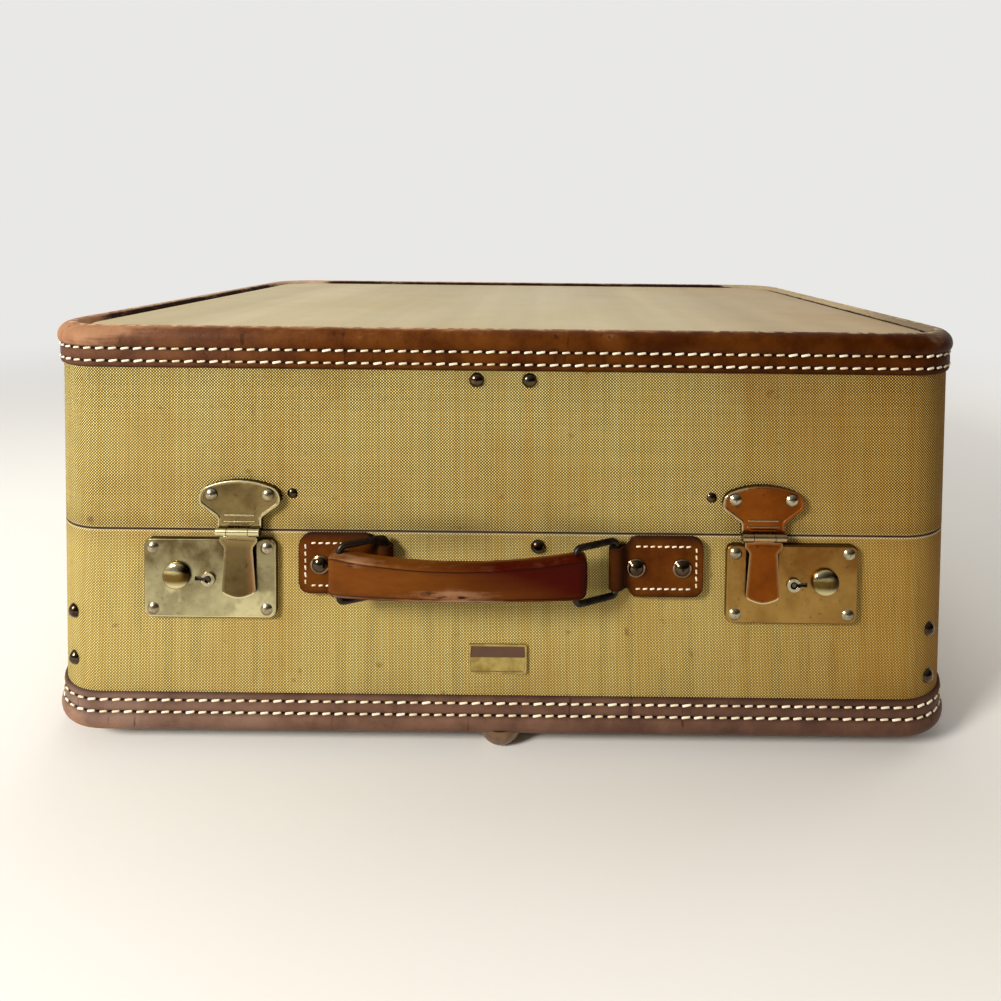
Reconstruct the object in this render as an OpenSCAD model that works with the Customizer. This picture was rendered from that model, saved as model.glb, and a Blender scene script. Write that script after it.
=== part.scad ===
// Hard travel case: two equal halves of bent board in woven canvas, bound in stitched leather,
// with two hasp locks and a flat leather handle on swinging wire rings.
// Millimetres. +X runs along the front, the locks face -Y, +Z is up.
// The origin is under the middle of the whole case, on the surface that it stands on.

/* [Case] */
// Width over the canvas
case_w = 500; // [450:1:700]
// Depth over the canvas, front to back
case_d = 350; // [280:1:450]
// Height of the base, from the seam to the underside of its binding
base_h = 111; // [95:1:160]
// Height of the lid, from the seam to the top of its binding
lid_h = 109; // [80:1:160]
// Radius of the upright corners
corner_r = 35; // [28:1:50]
// Thickness of the bent wall with its canvas
wall_t = 5; // [4:0.5:8]
// Thickness of the top and bottom boards
panel_t = 5; // [3:0.5:8]
// Gap between lid and base at the seam
seam_gap = 0.4; // [0.3:0.1:1]
// Thickness of the band inside the base
inner_band_t = 3; // [2:0.5:5]
// Height of the inner band above the seam
lip_h = 9; // [5:0.5:15]
// Clearance between the inner band and the walls
lip_gap = 0.5; // [0.4:0.1:1]
// Thickness of the lining
lining_t = 1.2; // [0.8:0.1:2]
// Room for glue between pieces that are stuck together
glue_gap = 0.1; // [0.05:0.05:0.2]

/* [Binding] */
// Radius of the leather roll along the edges
roll_r = 7; // [6:0.5:9]
// How far the roll stands out beyond the canvas
roll_out = 3; // [2:0.5:4]
// Depth of the boards below the crest of the roll
panel_recess = 3.5; // [2:0.5:5]
// Thickness of the stitched leather band
band_t = 1.6; // [1:0.1:2.5]
// Distance from the edge of the case to the far side of the band
band_reach = 22; // [17:0.5:30]

/* [Feet] */
// Height of the domed feet below the binding
foot_h = 8; // [5:0.5:12]
// Radius of the dome of a foot
foot_r = 12.5; // [11:0.5:16]
// Radius of the flat that a foot rests on
foot_flat_r = 6.5; // [2:0.5:7]
// Distance from the canvas in to the middle of a foot
foot_in = 9.5; // [8:0.5:16]
// Height of the studs on the hinge side
stud_h = 10; // [9.5:0.5:15]
// Radius of a stud
stud_r = 9; // [6:0.5:12]
// Distance from the side of the case in to a stud
stud_in = 55; // [50:1:60]
// Distance of the studs from the seam
stud_z = 62; // [50:1:65]

/* [Locks] */
// Width of a lock plate
lock_w = 70; // [66:1:80]
// Height of a lock plate
lock_h = 42.5; // [38:0.5:46]
// How far a lock plate stands off the canvas
lock_t = 3; // [2.8:0.1:4]
// Corner radius of a lock plate
lock_corner_r = 4; // [2:0.5:6]
// Distance from the end of a handle tab to a lock plate
lock_gap = 12.5; // [10:0.5:20]
// Distance from the seam down to a lock plate
lock_drop = 4; // [3.5:0.5:8]
// Sheet thickness of the lock plates
sheet_t = 1; // [0.8:0.1:1.2]
// Thickness of the plate behind a lock
lock_back_t = 0.5; // [0.3:0.1:0.6]
// Distance of the rivets from the edges of a lock plate
lock_rivet_in = 4.8; // [4.2:0.1:6]
// Distance from the outer end of a lock plate to its knob
knob_in = 17.7; // [16:0.1:18.5]
// Height of the knob above the middle of a lock plate
knob_up = 1.8; // [0:0.1:2.2]
// Radius of the knob
knob_r = 7.2; // [6.8:0.1:8]
// Height of the knob above the plate
knob_h = 3.6; // [3:0.1:5]
// Travel of the knob
knob_travel = 4; // [3:0.5:4.5]
// Radius of the stem below the knob
stem_r = 2; // [1.5:0.1:2.2]
// Distance from the outer end of a lock plate to its keyhole
key_in = 34.3; // [33:0.1:36]
// Outer radius of the key barrel
key_barrel_r = 3.75; // [3.2:0.05:4.5]
// Radius of the post in the keyhole
key_post_r = 1.1; // [0.8:0.1:1.4]
// Thickness of the slide behind a lock plate
slide_t = 0.9; // [0.6:0.1:1]
// Height of the slide
slide_w = 10; // [8.5:0.5:12]
// Thickness of the leaf spring behind the slide
spring_t = 0.5; // [0.3:0.1:0.8]

/* [Hasps] */
// Distance from the outer end of a lock plate to the middle of its hasp
hasp_in = 51; // [50:0.5:53]
// Width of a hasp plate on the lid
hasp_w = 43; // [40:1:50]
// Height of a hasp plate above the seam
hasp_top = 28; // [25:0.5:34]
// How far a hasp plate stands off the canvas
hasp_t = 3.4; // [3:0.1:4]
// Width of the neck of a hasp plate, over its hinge
hasp_neck_w = 23; // [21:0.5:26]
// Length of a hasp tongue below the seam
tongue_len = 35; // [31:0.5:38]
// Width of the tongue at its lower end
tongue_w = 18.5; // [16:0.5:20]
// Width of the tongue at its waist
tongue_waist_w = 15; // [13:0.5:16]
// Thickness of the tongue
tongue_t = 1.5; // [1.2:0.1:2]
// Radius of the knuckles of a hasp
hasp_knuckle_r = 2.2; // [2:0.1:2.6]
// Width of the middle knuckle of a hasp
hasp_knuckle_w = 11; // [8:0.5:12]
// Height of the hasp's hinge above the seam
hasp_axis_z = 0.8; // [0.5:0.1:1.5]

/* [Handle] */
// Distance between the pins of the handle, and between the folds of its tabs
handle_span = 122; // [116:1:124]
// Length of the grip
handle_len = 134; // [131:1:138]
// Height of the grip at its ends
handle_end_h = 22.4; // [20:0.2:22.6]
// Height of the grip in the middle
handle_mid_h = 18.4; // [16:0.2:20]
// Thickness of the grip
handle_t = 11; // [9:0.5:13]
// Bow of the grip between its pins
handle_bow = 7; // [4:0.5:10]
// Distance from the seam down to the middle of the handle
handle_drop = 16.5; // [16.2:0.1:20]
// Thickness of the steel strip in the grip
core_t = 1.5; // [1:0.1:2]
// Height of the steel strip
core_h = 10; // [6:0.5:12]
// Radius of the ring wire
wire_r = 1.75; // [1.25:0.05:2]
// Length of a ring between its two bars
ring_len = 24; // [23:0.5:28]
// Height of a ring between its long sides
ring_h = 29.5; // [29:0.5:32]
// Bend radius of the ring wire
ring_bend_r = 3; // [2.5:0.1:3]
// Angle of the rings off the wall at rest
ring_rest = 26; // [24:1:35]
// Thickness of the strap that makes a tab
strap_t = 1.9; // [1.5:0.1:2.2]
// Length of a tab from its fold
tab_len = 46.5; // [44:0.5:49]
// Height of a tab
tab_h = 32; // [26:0.5:32]
// Height of the narrow stretch of a tab at its fold
tab_neck_h = 22.5; // [20:0.5:23]
// Length of that narrow stretch
tab_neck_len = 8; // [7:0.5:10]
// Radius of the tab rivets
tab_rivet_r = 5; // [4:0.1:5.5]
// Distance from the fold to the first tab rivet
tab_rivet_a = 10.5; // [10:0.5:14]
// Distance from the fold to the second tab rivet
tab_rivet_b = 35; // [33:0.5:38]

/* [Hinges] */
// Distance from the side of the case in to the middle of a hinge
hinge_in = 110; // [102:1:130]
// Length of a hinge
hinge_len = 56; // [50:1:64]
// Height of a hinge leaf
hinge_leaf_h = 24; // [20:0.5:30]
// Thickness of a hinge leaf
hinge_leaf_t = 1.4; // [1:0.1:1.8]
// Radius of the hinge barrel
hinge_barrel_r = 3.2; // [3:0.1:3.6]
// Radius of the hinge pin
hinge_pin_r = 1.5; // [1.2:0.1:1.8]
// Width of the lid's knuckle
hinge_knuckle_w = 20; // [16:1:24]
// Reach of the stop heel from the hinge pin
heel_len = 5.5; // [4.5:0.1:5.8]
// Angle at which the heel stops the lid
lid_open = 100; // [90:1:110]

/* [Small fittings] */
// Radius of the rivets set straight into the canvas
rivet_r = 4; // [3:0.1:5]
// Height of those rivets
rivet_h = 2.6; // [1.5:0.1:3]
// Radius of the rivets in the metal plates
plate_rivet_r = 3.3; // [2.5:0.1:3.6]
// Height of the rivets in the metal plates
plate_rivet_h = 1.6; // [1:0.1:2]
// Radius of the rivets beside the hasps
side_rivet_r = 2.8; // [2:0.1:3.5]
// Distance from the middle of a hasp to the rivet beside it
side_rivet_in = 27; // [26:0.5:29]
// Height of that rivet above the seam
side_rivet_z = 20; // [12:0.5:30]
// Distance between the pair of rivets on the front of the lid
lid_rivet_gap = 28; // [20:1:40]
// Distance of that pair below the leather band
lid_rivet_drop = 5; // [4.5:0.5:10]
// Distance of the rivet behind the handle from the middle of the case
front_rivet_x = 19.5; // [15:0.5:25]
// Distance of that rivet below the seam
front_rivet_drop = 7.5; // [6:0.5:12]
// Height of the lower corner rivets above the underside
corner_rivet_up = 35; // [28:0.5:40]
// Distance between the two rivets on a corner
corner_rivet_gap = 26; // [15:0.5:35]
// Height of the left corner rivets above that, and of the right ones below it
corner_rivet_step = 2.5; // [0:0.5:4]
// Angle round the corner from the front or back to its rivets
corner_rivet_turn = 30; // [20:1:45]
// Width of the bare badge plate
badge_w = 31; // [24:0.5:40]
// Height of the badge plate
badge_h = 16; // [10:0.5:18]
// Thickness of the badge plate
badge_t = 1.2; // [0.6:0.1:2]
// Height of the middle of the badge above the underside
badge_up = 42.5; // [34:0.5:46]
// Distance of the badge to the left of the middle of the case
badge_left = 1.5; // [0:0.5:5]

/* [Hidden] */
$fn = 64;
// Running clearance between pins and bores, and press clearance of fixed ones
run_gap = 0.1;
press_gap = 0.03;
// Clearance between faces that pass each other, and between the hinge barrels and the canvas
pass_gap = 0.3;
barrel_gap = 0.2;
// Radius of the rivets' shanks in plates and straps, and of the pins of the hasps
plate_shank_r = 1.4;
hasp_pin_r = 1;
// Steps of an arc in an outline, and of a wide arc
arc_steps = 8;
wide_fn = 720;

// Levels from the seam
base_board_z = -base_h + panel_recess;
lid_board_z = lid_h - panel_recess;
inner_floor_z = base_board_z + panel_t;
lid_ceiling_z = lid_board_z - panel_t;
// How far the linings stop short of the edge of the inner band
lining_short = 1.5;
// Insets of the inner faces from the canvas
band_out = wall_t + lip_gap;
band_in = band_out + inner_band_t;
// Places along the front
lock_x = handle_span / 2 + tab_len + lock_gap + lock_w / 2;
lock_z = -lock_drop - lock_h / 2;
lock_end = lock_w / 2;
hasp_x = lock_x + lock_end - hasp_in;
hasp_off = lock_end - hasp_in;
key_off = lock_end - key_in;
knob_off = lock_end - knob_in;
slide_tail = knob_off + stem_r + 3;
slide_back = lock_back_t + (lock_t - sheet_t - lock_back_t - slide_t) / 2;
tongue_back = lock_t + pass_gap;
hasp_axis_sink = 0.2;
hasp_ear_down = 8;
hasp_axis_out = tongue_back + tongue_t - hasp_axis_sink;
staple_r = 2.5;
// The handle's linkage
sleeve_r = wire_r + run_gap + strap_t;
tab_t = 2 * strap_t;
fold_out = sleeve_r + glue_gap;
pin_out = fold_out + ring_len * sin(ring_rest);
pin_shift = ring_len * cos(ring_rest);
bow_r = (pow(handle_span / 2, 2) + pow(handle_bow, 2)) / (2 * handle_bow);
waist_dip = (handle_end_h - handle_mid_h) / 2;
waist_r = (pow(handle_len / 2, 2) + pow(waist_dip, 2)) / (2 * waist_dip);
core_end_in = 8;
core_len = handle_span - 2 * core_end_in;
// Places along the back, and the hinge axis behind the wall
stud_x = case_w / 2 - stud_in;
hinge_x = case_w / 2 - hinge_in;
hinge_out = hinge_barrel_r + barrel_gap;
// The origin lies under the middle of the whole case
front_reach = pin_out + handle_bow + handle_t / 2;
mid_y = (front_reach - stud_h) / 2;
seam_z = base_h + foot_h;

// From the middle of the seam to the part's own frame
module place() {
    translate([0, mid_y, seam_z]) children();
}

// The outer face of the front or back canvas, at the seam
module on_front() {
    translate([0, -case_d / 2, 0]) children();
}

module on_back() {
    translate([0, case_d / 2, 0]) children();
}

// A copy on the other side of the middle
module left_side() {
    mirror([1, 0, 0]) children();
}

// A flat shape drawn in X and Z, raised from the wall towards the front
module raise(height) {
    rotate([90, 0, 0]) linear_extrude(height) children();
}

// A turned piece that points out of the front
module facing_front() {
    rotate([90, 0, 0]) children();
}

module rounded_rect(w, h, r) {
    square([w - 2 * r, h], center = true);
    square([w, h - 2 * r], center = true);
    for (x = [-1, 1], y = [-1, 1])
        translate([x * (w / 2 - r), y * (h / 2 - r)]) circle(r);
}

// Corner points with a radius each, given as [x, y, radius]; radius 0 leaves a sharp corner
function unit(v) = v / norm(v);
function corner_arc(a, b, c, r) = r == 0 ? [b] :
    let (u = unit(a - b))
    let (v = unit(c - b))
    let (half = acos(u * v) / 2)
    let (centre = b + unit(u + v) * r / sin(half))
    let (p = b + u * r / tan(half) - centre)
    let (q = b + v * r / tan(half) - centre)
    let (start = atan2(p.y, p.x))
    let (turn = (atan2(q.y, q.x) - start + 540) % 360 - 180)
    let (angles = [for (i = [0:arc_steps]) start + turn * i / arc_steps])
    [for (angle = angles) centre + r * [cos(angle), sin(angle)]];
function flat(p) = [p.x, p.y];

module rounded_outline(corners) {
    n = len(corners);
    polygon([for (i = [0:n - 1]) each corner_arc(flat(corners[(i + n - 1) % n]), flat(corners[i]),
        flat(corners[(i + 1) % n]), corners[i].z)]);
}

// The plan of the case, moved out by a distance, or in by a negative one
module plan(out) {
    rounded_rect(case_w + 2 * out, case_d + 2 * out, corner_r + out);
}

module upright_ring(outer, inner, z_low, z_high) {
    translate([0, 0, z_low]) linear_extrude(z_high - z_low) difference() {
        plan(outer);
        plan(inner);
    }
}

module level_board(out, z_low, z_high) {
    translate([0, 0, z_low]) linear_extrude(z_high - z_low) plan(out);
}

// A profile carried round the plan: X is outwards from the canvas, Y is up
module round_the_case() {
    for (side = [-1, 1]) {
        turn = side > 0 ? 0 : 180;
        rotate([0, 0, turn]) translate([case_w / 2, 0, 0]) rotate([90, 0, 0])
            linear_extrude(case_d - 2 * corner_r, center = true) children();
        rotate([0, 0, turn + 90]) translate([case_d / 2, 0, 0]) rotate([90, 0, 0])
            linear_extrude(case_w - 2 * corner_r, center = true) children();
    }
    corner_x = case_w / 2 - corner_r;
    corner_y = case_d / 2 - corner_r;
    for (corner = [[1, 1, 0], [-1, 1, 90], [-1, -1, 180], [1, -1, 270]])
        translate([corner.x * corner_x, corner.y * corner_y, 0]) rotate([0, 0, corner.z])
            rotate_extrude(angle = 90) translate([corner_r, 0]) children();
}

// A domed head that sits on the level z = 0
module dome(r, h) {
    ball_r = (r * r + h * h) / (2 * h);
    intersection() {
        translate([0, 0, h - ball_r]) sphere(ball_r);
        cylinder(r = r, h = h);
    }
}

// A domed rivet with a shank below its head
module rivet(r, h, shank_r, shank_h) {
    dome(r, h);
    translate([0, 0, -shank_h]) cylinder(r = shank_r, h = shank_h + h / 4);
}

// Shell

module base_rim() {
    color("darkkhaki") upright_ring(0, -wall_t, base_board_z, -seam_gap / 2);
}

module lid_rim() {
    color("darkkhaki") upright_ring(0, -wall_t, seam_gap / 2, lid_board_z);
}

module base_panel() {
    color("tan") level_board(-wall_t - glue_gap, base_board_z, inner_floor_z);
}

module lid_panel() {
    color("tan") level_board(-wall_t - glue_gap, lid_ceiling_z, lid_board_z);
}

// A roll over the edge of the case and a flat band on the canvas beside it, in one strip of leather
module binding_profile() {
    difference() {
        union() {
            translate([roll_out - roll_r, roll_r]) circle(roll_r);
            translate([0, roll_r]) square([band_t, band_reach - roll_r]);
        }
        translate([-2 * roll_r, panel_recess]) square([2 * roll_r, band_reach]);
    }
}

module lid_binding() {
    color("saddlebrown") translate([0, 0, lid_h]) mirror([0, 0, 1]) round_the_case() binding_profile();
}

module base_binding() {
    color("saddlebrown") difference() {
        translate([0, 0, -base_h]) round_the_case() binding_profile();
        at_feet() translate([0, 0, foot_ball_z()]) sphere(foot_r + glue_gap);
    }
}

// The band lines the base and stands above the seam, so that the lid shuts over it
module inner_band() {
    color("burlywood") upright_ring(-band_out, -band_in, inner_floor_z, lip_h);
}

module base_lining() {
    color("wheat") {
        upright_ring(-band_in - glue_gap, -band_in - glue_gap - lining_t, inner_floor_z,
            lip_h - lining_short);
        level_board(-band_in - glue_gap - lining_t / 2, inner_floor_z, inner_floor_z + lining_t);
    }
}

module lid_lining() {
    color("wheat") {
        upright_ring(-wall_t - glue_gap, -wall_t - glue_gap - lining_t, lip_h + lining_short,
            lid_ceiling_z);
        level_board(-wall_t - glue_gap - lining_t / 2, lid_ceiling_z - lining_t, lid_ceiling_z);
    }
}

// Feet

// Height of a foot's centre above the underside of the binding
function foot_ball_z() = sqrt(foot_r * foot_r - foot_flat_r * foot_flat_r) - foot_h;

module at_feet() {
    for (side = [-1, 1]) {
        translate([side * (case_w / 2 - foot_in), 0, -base_h]) children();
        translate([0, side * (case_d / 2 - foot_in), -base_h]) children();
    }
}

// Half balls pressed into the roll in the middle of each edge, flat where they stand
module bottom_feet() {
    color("peru") at_feet() intersection() {
        translate([0, 0, foot_ball_z()]) sphere(foot_r);
        translate([0, 0, -foot_h]) cylinder(r = 2 * foot_r, h = foot_h + panel_recess);
    }
}

module studs(z) {
    dome_h = 0.6 * stud_h;
    on_back() for (side = [-1, 1])
        translate([side * stud_x, 0, z]) rotate([-90, 0, 0]) intersection() {
            union() {
                cylinder(r = stud_r, h = stud_h / 2);
                translate([0, 0, stud_h / 2]) dome(stud_r, dome_h);
            }
            cylinder(r = 2 * stud_r, h = stud_h);
        }
}

module base_studs() {
    color("peru") studs(-stud_z);
}

module lid_studs() {
    color("peru") studs(stud_z);
}

// Rivets and badge on the canvas

module corner_rivets() {
    corner_x = case_w / 2 - corner_r;
    corner_y = case_d / 2 - corner_r;
    color("sienna") for (x = [-1, 1], y = [-1, 1], up = [0, corner_rivet_gap])
        translate([x * corner_x, y * corner_y, -base_h + corner_rivet_up - x * corner_rivet_step + up])
            mirror([x < 0 ? 1 : 0, 0, 0]) mirror([0, y < 0 ? 1 : 0, 0])
                rotate([0, 0, 90 - corner_rivet_turn]) translate([corner_r + glue_gap, 0, 0])
                    rotate([0, 90, 0]) dome(rivet_r, rivet_h);
}

module front_rivet() {
    color("sienna") on_front() translate([front_rivet_x, 0, -front_rivet_drop])
        facing_front() dome(rivet_r, rivet_h);
}

module lid_rivets() {
    color("sienna") on_front() for (side = [-1, 1])
        translate([side * lid_rivet_gap / 2, 0, lid_h - band_reach - lid_rivet_drop])
            facing_front() dome(rivet_r, rivet_h);
}

module hasp_side_rivets() {
    color("sienna") on_front() for (side = [-1, 1])
        translate([side * (hasp_x - side_rivet_in), 0, side_rivet_z])
            facing_front() dome(side_rivet_r, side_rivet_r / 2);
}

module badge_plate() {
    badge_corner_r = 1.5;
    color("goldenrod") on_front() translate([-badge_left, 0, badge_up - base_h])
        raise(badge_t) rounded_rect(badge_w, badge_h, badge_corner_r);
}

// Locks: a pressed pan over a back plate, with a slide between them

module at_lock() {
    on_front() translate([lock_x, 0, lock_z]) children();
}

// The notch lets the staple of the tongue in from above
module lock_notch() {
    notch_play = 1.5;
    notch_w = tongue_waist_w + notch_play;
    shoulder_r = 3;
    covered = 3;
    deep = tongue_len - lock_drop - covered;
    top = lock_h / 2;
    translate([hasp_off, top]) {
        translate([-notch_w / 2, 1 - deep]) square([notch_w, deep]);
        for (side = [-1, 1]) difference() {
            translate([side * notch_w / 2 - shoulder_r, -shoulder_r])
                square([2 * shoulder_r, shoulder_r + 1]);
            translate([side * (notch_w / 2 + shoulder_r), -shoulder_r]) circle(shoulder_r);
        }
    }
}

module at_lock_rivets() {
    for (x = [-1, 1], z = [-1, 1])
        translate([x * (lock_w / 2 - lock_rivet_in), 0, z * (lock_h / 2 - lock_rivet_in)])
            facing_front() children();
}

module key_slot() {
    slot_w = 2.2;
    bit_len = 3.6;
    slot_reach = key_barrel_r + bit_len;
    translate([key_off, -slot_w / 2]) square([slot_reach, slot_w]);
}

module lock_plate() {
    color("darkgoldenrod") at_lock() difference() {
        raise(lock_t) rounded_rect(lock_w, lock_h, lock_corner_r);
        translate([0, glue_gap, 0]) raise(lock_t - sheet_t + glue_gap)
            rounded_rect(lock_w - 2 * sheet_t, lock_h - 2 * sheet_t, lock_corner_r - sheet_t);
        translate([0, 1, 0]) raise(lock_t + 2) {
            lock_notch();
            key_slot();
            translate([knob_off, knob_up - stem_r - run_gap]) square([knob_travel, 2 * (stem_r + run_gap)]);
            for (x = [0, knob_travel]) translate([knob_off + x, knob_up]) circle(stem_r + run_gap);
            translate([key_off, 0]) circle(key_barrel_r + press_gap);
        }
        at_lock_rivets() cylinder(r = plate_shank_r + press_gap, h = lock_t + 1);
    }
}

module lock_back() {
    post_proud = 0.8;
    color("dimgray") at_lock() {
        raise(lock_back_t) rounded_rect(lock_w - 2 * sheet_t - 2 * glue_gap,
            lock_h - 2 * sheet_t - 2 * glue_gap, lock_corner_r - sheet_t);
        translate([key_off, 0, 0]) facing_front() cylinder(r = key_post_r, h = lock_t + post_proud);
    }
}

module key_barrel() {
    tube_t = 1;
    bore_r = key_barrel_r - tube_t;
    proud = 1.2;
    color("goldenrod") at_lock() difference() {
        translate([key_off, sheet_t - lock_t, 0]) facing_front() difference() {
            cylinder(r = key_barrel_r, h = sheet_t + proud);
            translate([0, 0, -1]) cylinder(r = bore_r, h = sheet_t + proud + 2);
        }
        translate([0, 1, 0]) raise(lock_t + proud + 2) key_slot();
    }
}

module lock_rivets() {
    color("silver") for (side = [0, 1]) mirror([side, 0, 0])
        at_lock() translate([0, -lock_t, 0]) at_lock_rivets()
            rivet(plate_rivet_r, plate_rivet_h, plate_shank_r, sheet_t);
}

// The slide carries the knob, and its nose stops just short of the staple
module lock_slide() {
    nose = hasp_off + staple_r + pass_gap;
    color("gray") at_lock() translate([0, -slide_back, 0]) difference() {
        raise(slide_t) translate([nose, -slide_w / 2]) square([slide_tail - nose, slide_w]);
        translate([0, 1, 0]) raise(slide_t + 2) {
            for (x = [-knob_travel, 0]) translate([key_off + x, 0]) circle(key_post_r + pass_gap);
            translate([key_off - knob_travel, -key_post_r - pass_gap])
                square([knob_travel, 2 * (key_post_r + pass_gap)]);
            translate([knob_off, knob_up]) circle(stem_r + press_gap);
        }
    }
}

// A leaf bent into an open ring, between the slide and the end of the lock plate
module lock_spring() {
    end = lock_end - sheet_t;
    ring_r = (end - slide_tail) / 2 - glue_gap;
    mouth = ring_r;
    color("gray") at_lock() translate([(end + slide_tail) / 2, -slide_back, 0]) raise(slide_t) difference() {
        circle(ring_r);
        circle(ring_r - spring_t);
        translate([-mouth / 2, 0]) square([mouth, 2 * ring_r]);
    }
}

module slide_knob() {
    collar_h = 1.4;
    collar_in = 0.8;
    dome_h = knob_h - collar_h - pass_gap;
    color("goldenrod") at_lock() translate([knob_off, -slide_back, knob_up]) facing_front() {
        cylinder(r = stem_r, h = lock_t - slide_back + pass_gap + collar_h);
        translate([0, 0, lock_t - slide_back + pass_gap]) {
            cylinder(r = knob_r, h = collar_h);
            translate([0, 0, collar_h]) dome(knob_r - collar_in, dome_h);
        }
    }
}

// Hasps: a hat-shaped plate on the lid and a tongue hinged on it at the seam

module at_hasp() {
    on_front() translate([hasp_x, 0, 0]) children();
}

module along_hasp_axis(w) {
    translate([-w / 2, -hasp_axis_out, hasp_axis_z]) rotate([0, 90, 0]) children();
}

module hasp_rivet_places() {
    ear_in = 6.5;
    for (side = [-1, 1])
        translate([side * (hasp_w / 2 - ear_in), 0, hasp_top - hasp_ear_down]) facing_front() children();
}

module hasp_plate() {
    half = hasp_w / 2;
    neck = hasp_neck_w / 2;
    shoulder = hasp_top - 12.6;
    neck_top = shoulder - 7.4;
    crown = hasp_top + 3.4;
    brow = hasp_top - 5.4;
    hollow_w = hasp_w - 26;
    hollow_h = 10;
    clear_r = hasp_knuckle_r + pass_gap;
    knuckle_gap = hasp_knuckle_w / 2 + pass_gap;
    color("darkgoldenrod") at_hasp() difference() {
        union() {
            raise(hasp_t) rounded_outline([
                [-neck, hasp_axis_z, 0], [neck, hasp_axis_z, 0], [neck, neck_top, 3],
                [half, shoulder, 4], [half, brow, 7], [0, crown, 45],
                [-half, brow, 7], [-half, shoulder, 4], [-neck, neck_top, 3]]);
            along_hasp_axis(hasp_neck_w) cylinder(r = hasp_knuckle_r, h = hasp_neck_w);
        }
        along_hasp_axis(2 * knuckle_gap) cylinder(r = clear_r, h = 2 * knuckle_gap);
        translate([-knuckle_gap, -hasp_t - 1, hasp_axis_z - clear_r])
            cube([2 * knuckle_gap, hasp_t + 2, 2 * clear_r]);
        along_hasp_axis(hasp_neck_w + 2) cylinder(r = hasp_pin_r + press_gap, h = hasp_neck_w + 2);
        translate([0, glue_gap, hasp_top - hasp_ear_down]) raise(hasp_t - sheet_t + glue_gap)
            rounded_rect(hollow_w, hollow_h, 2);
        translate([0, 1, 0]) hasp_rivet_places() cylinder(r = plate_shank_r + press_gap, h = hasp_t + 2);
    }
}

module hasp_pins() {
    color("silver") for (side = [0, 1]) mirror([side, 0, 0])
        at_hasp() along_hasp_axis(hasp_neck_w) cylinder(r = hasp_pin_r, h = hasp_neck_w);
}

module hasp_rivets() {
    color("silver") for (side = [0, 1]) mirror([side, 0, 0])
        at_hasp() translate([0, -hasp_t, 0]) hasp_rivet_places()
            rivet(plate_rivet_r, plate_rivet_h, plate_shank_r, hasp_t);
}

module hasp_tongue() {
    ear = hasp_neck_w / 2 - 1.5;
    waist = tongue_waist_w / 2;
    wide = tongue_w / 2;
    knuckle = hasp_knuckle_w / 2;
    ear_z = hasp_axis_z - hasp_knuckle_r - pass_gap;
    ear_low = ear_z - 3;
    waist_z = ear_z - 6;
    cheek_z = 2.5 - tongue_len;
    chin_z = -tongue_len - 1;
    staple_h = 5;
    color("darkgoldenrod") at_hasp() difference() {
        union() {
            translate([0, -tongue_back, 0]) raise(tongue_t) rounded_outline([
                [knuckle, hasp_axis_z, 0], [knuckle, ear_z, 0], [ear, ear_z, 1.2],
                [ear, ear_low, 1.2], [waist, waist_z, 3], [wide, cheek_z, 3.5],
                [0, chin_z, 12], [-wide, cheek_z, 3.5],
                [-waist, waist_z, 3], [-ear, ear_low, 1.2], [-ear, ear_z, 1.2],
                [-knuckle, ear_z, 0], [-knuckle, hasp_axis_z, 0]]);
            along_hasp_axis(hasp_knuckle_w) cylinder(r = hasp_knuckle_r, h = hasp_knuckle_w);
            translate([-staple_r, -tongue_back, lock_z - staple_h / 2])
                cube([2 * staple_r, tongue_back - lock_back_t - pass_gap, staple_h]);
        }
        along_hasp_axis(hasp_neck_w) cylinder(r = hasp_pin_r + run_gap, h = hasp_neck_w);
    }
}

// Handle

module at_fold() {
    on_front() translate([handle_span / 2, 0, -handle_drop]) children();
}

module tab_rivet_places() {
    for (x = [tab_rivet_a, tab_rivet_b]) translate([x, 0, 0]) facing_front() children();
}

// A strap folded round the ring and laid back on itself
module handle_tab() {
    body_len = tab_len - tab_neck_len;
    end_r = 6;
    color("sienna") at_fold() difference() {
        union() {
            raise(tab_t) {
                translate([0, -tab_neck_h / 2]) square([tab_neck_len + end_r, tab_neck_h]);
                translate([tab_neck_len + body_len / 2, 0]) rounded_rect(body_len, tab_h, end_r);
            }
            translate([0, -fold_out, -tab_neck_h / 2]) cylinder(r = sleeve_r, h = tab_neck_h);
        }
        translate([0, -fold_out, -tab_h]) cylinder(r = wire_r + run_gap, h = 2 * tab_h);
        translate([0, 1, 0]) tab_rivet_places() cylinder(r = plate_shank_r + press_gap, h = tab_t + 2);
    }
}

module tab_rivets() {
    washer_h = 0.8;
    washer_lip = 0.8;
    cap_h = 2.4;
    color("sienna") for (side = [0, 1]) mirror([side, 0, 0])
        at_fold() translate([0, -tab_t, 0]) tab_rivet_places() {
            cylinder(r = tab_rivet_r, h = washer_h);
            translate([0, 0, washer_h]) dome(tab_rivet_r - washer_lip, cap_h);
            translate([0, 0, -tab_t]) cylinder(r = plate_shank_r, h = tab_t + 1);
        }
}

// A closed rectangle of bent wire: one bar on the Z axis, the other ring_len along X
module wire_ring() {
    bar_h = ring_h - 2 * ring_bend_r;
    long_len = ring_len - 2 * ring_bend_r;
    for (x = [0, ring_len]) translate([x, 0, -bar_h / 2]) cylinder(r = wire_r, h = bar_h);
    for (z = [-1, 1]) translate([ring_bend_r, 0, z * ring_h / 2])
        rotate([0, 90, 0]) cylinder(r = wire_r, h = long_len);
    for (corner = [[1, 1, 0], [0, 1, 90], [0, -1, 180], [1, -1, 270]])
        translate([ring_bend_r + corner.x * long_len, 0, corner.y * bar_h / 2])
            rotate([90, 0, 0]) rotate([0, 0, corner.z])
                rotate_extrude(angle = 90) translate([ring_bend_r, 0]) circle(wire_r);
}

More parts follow.
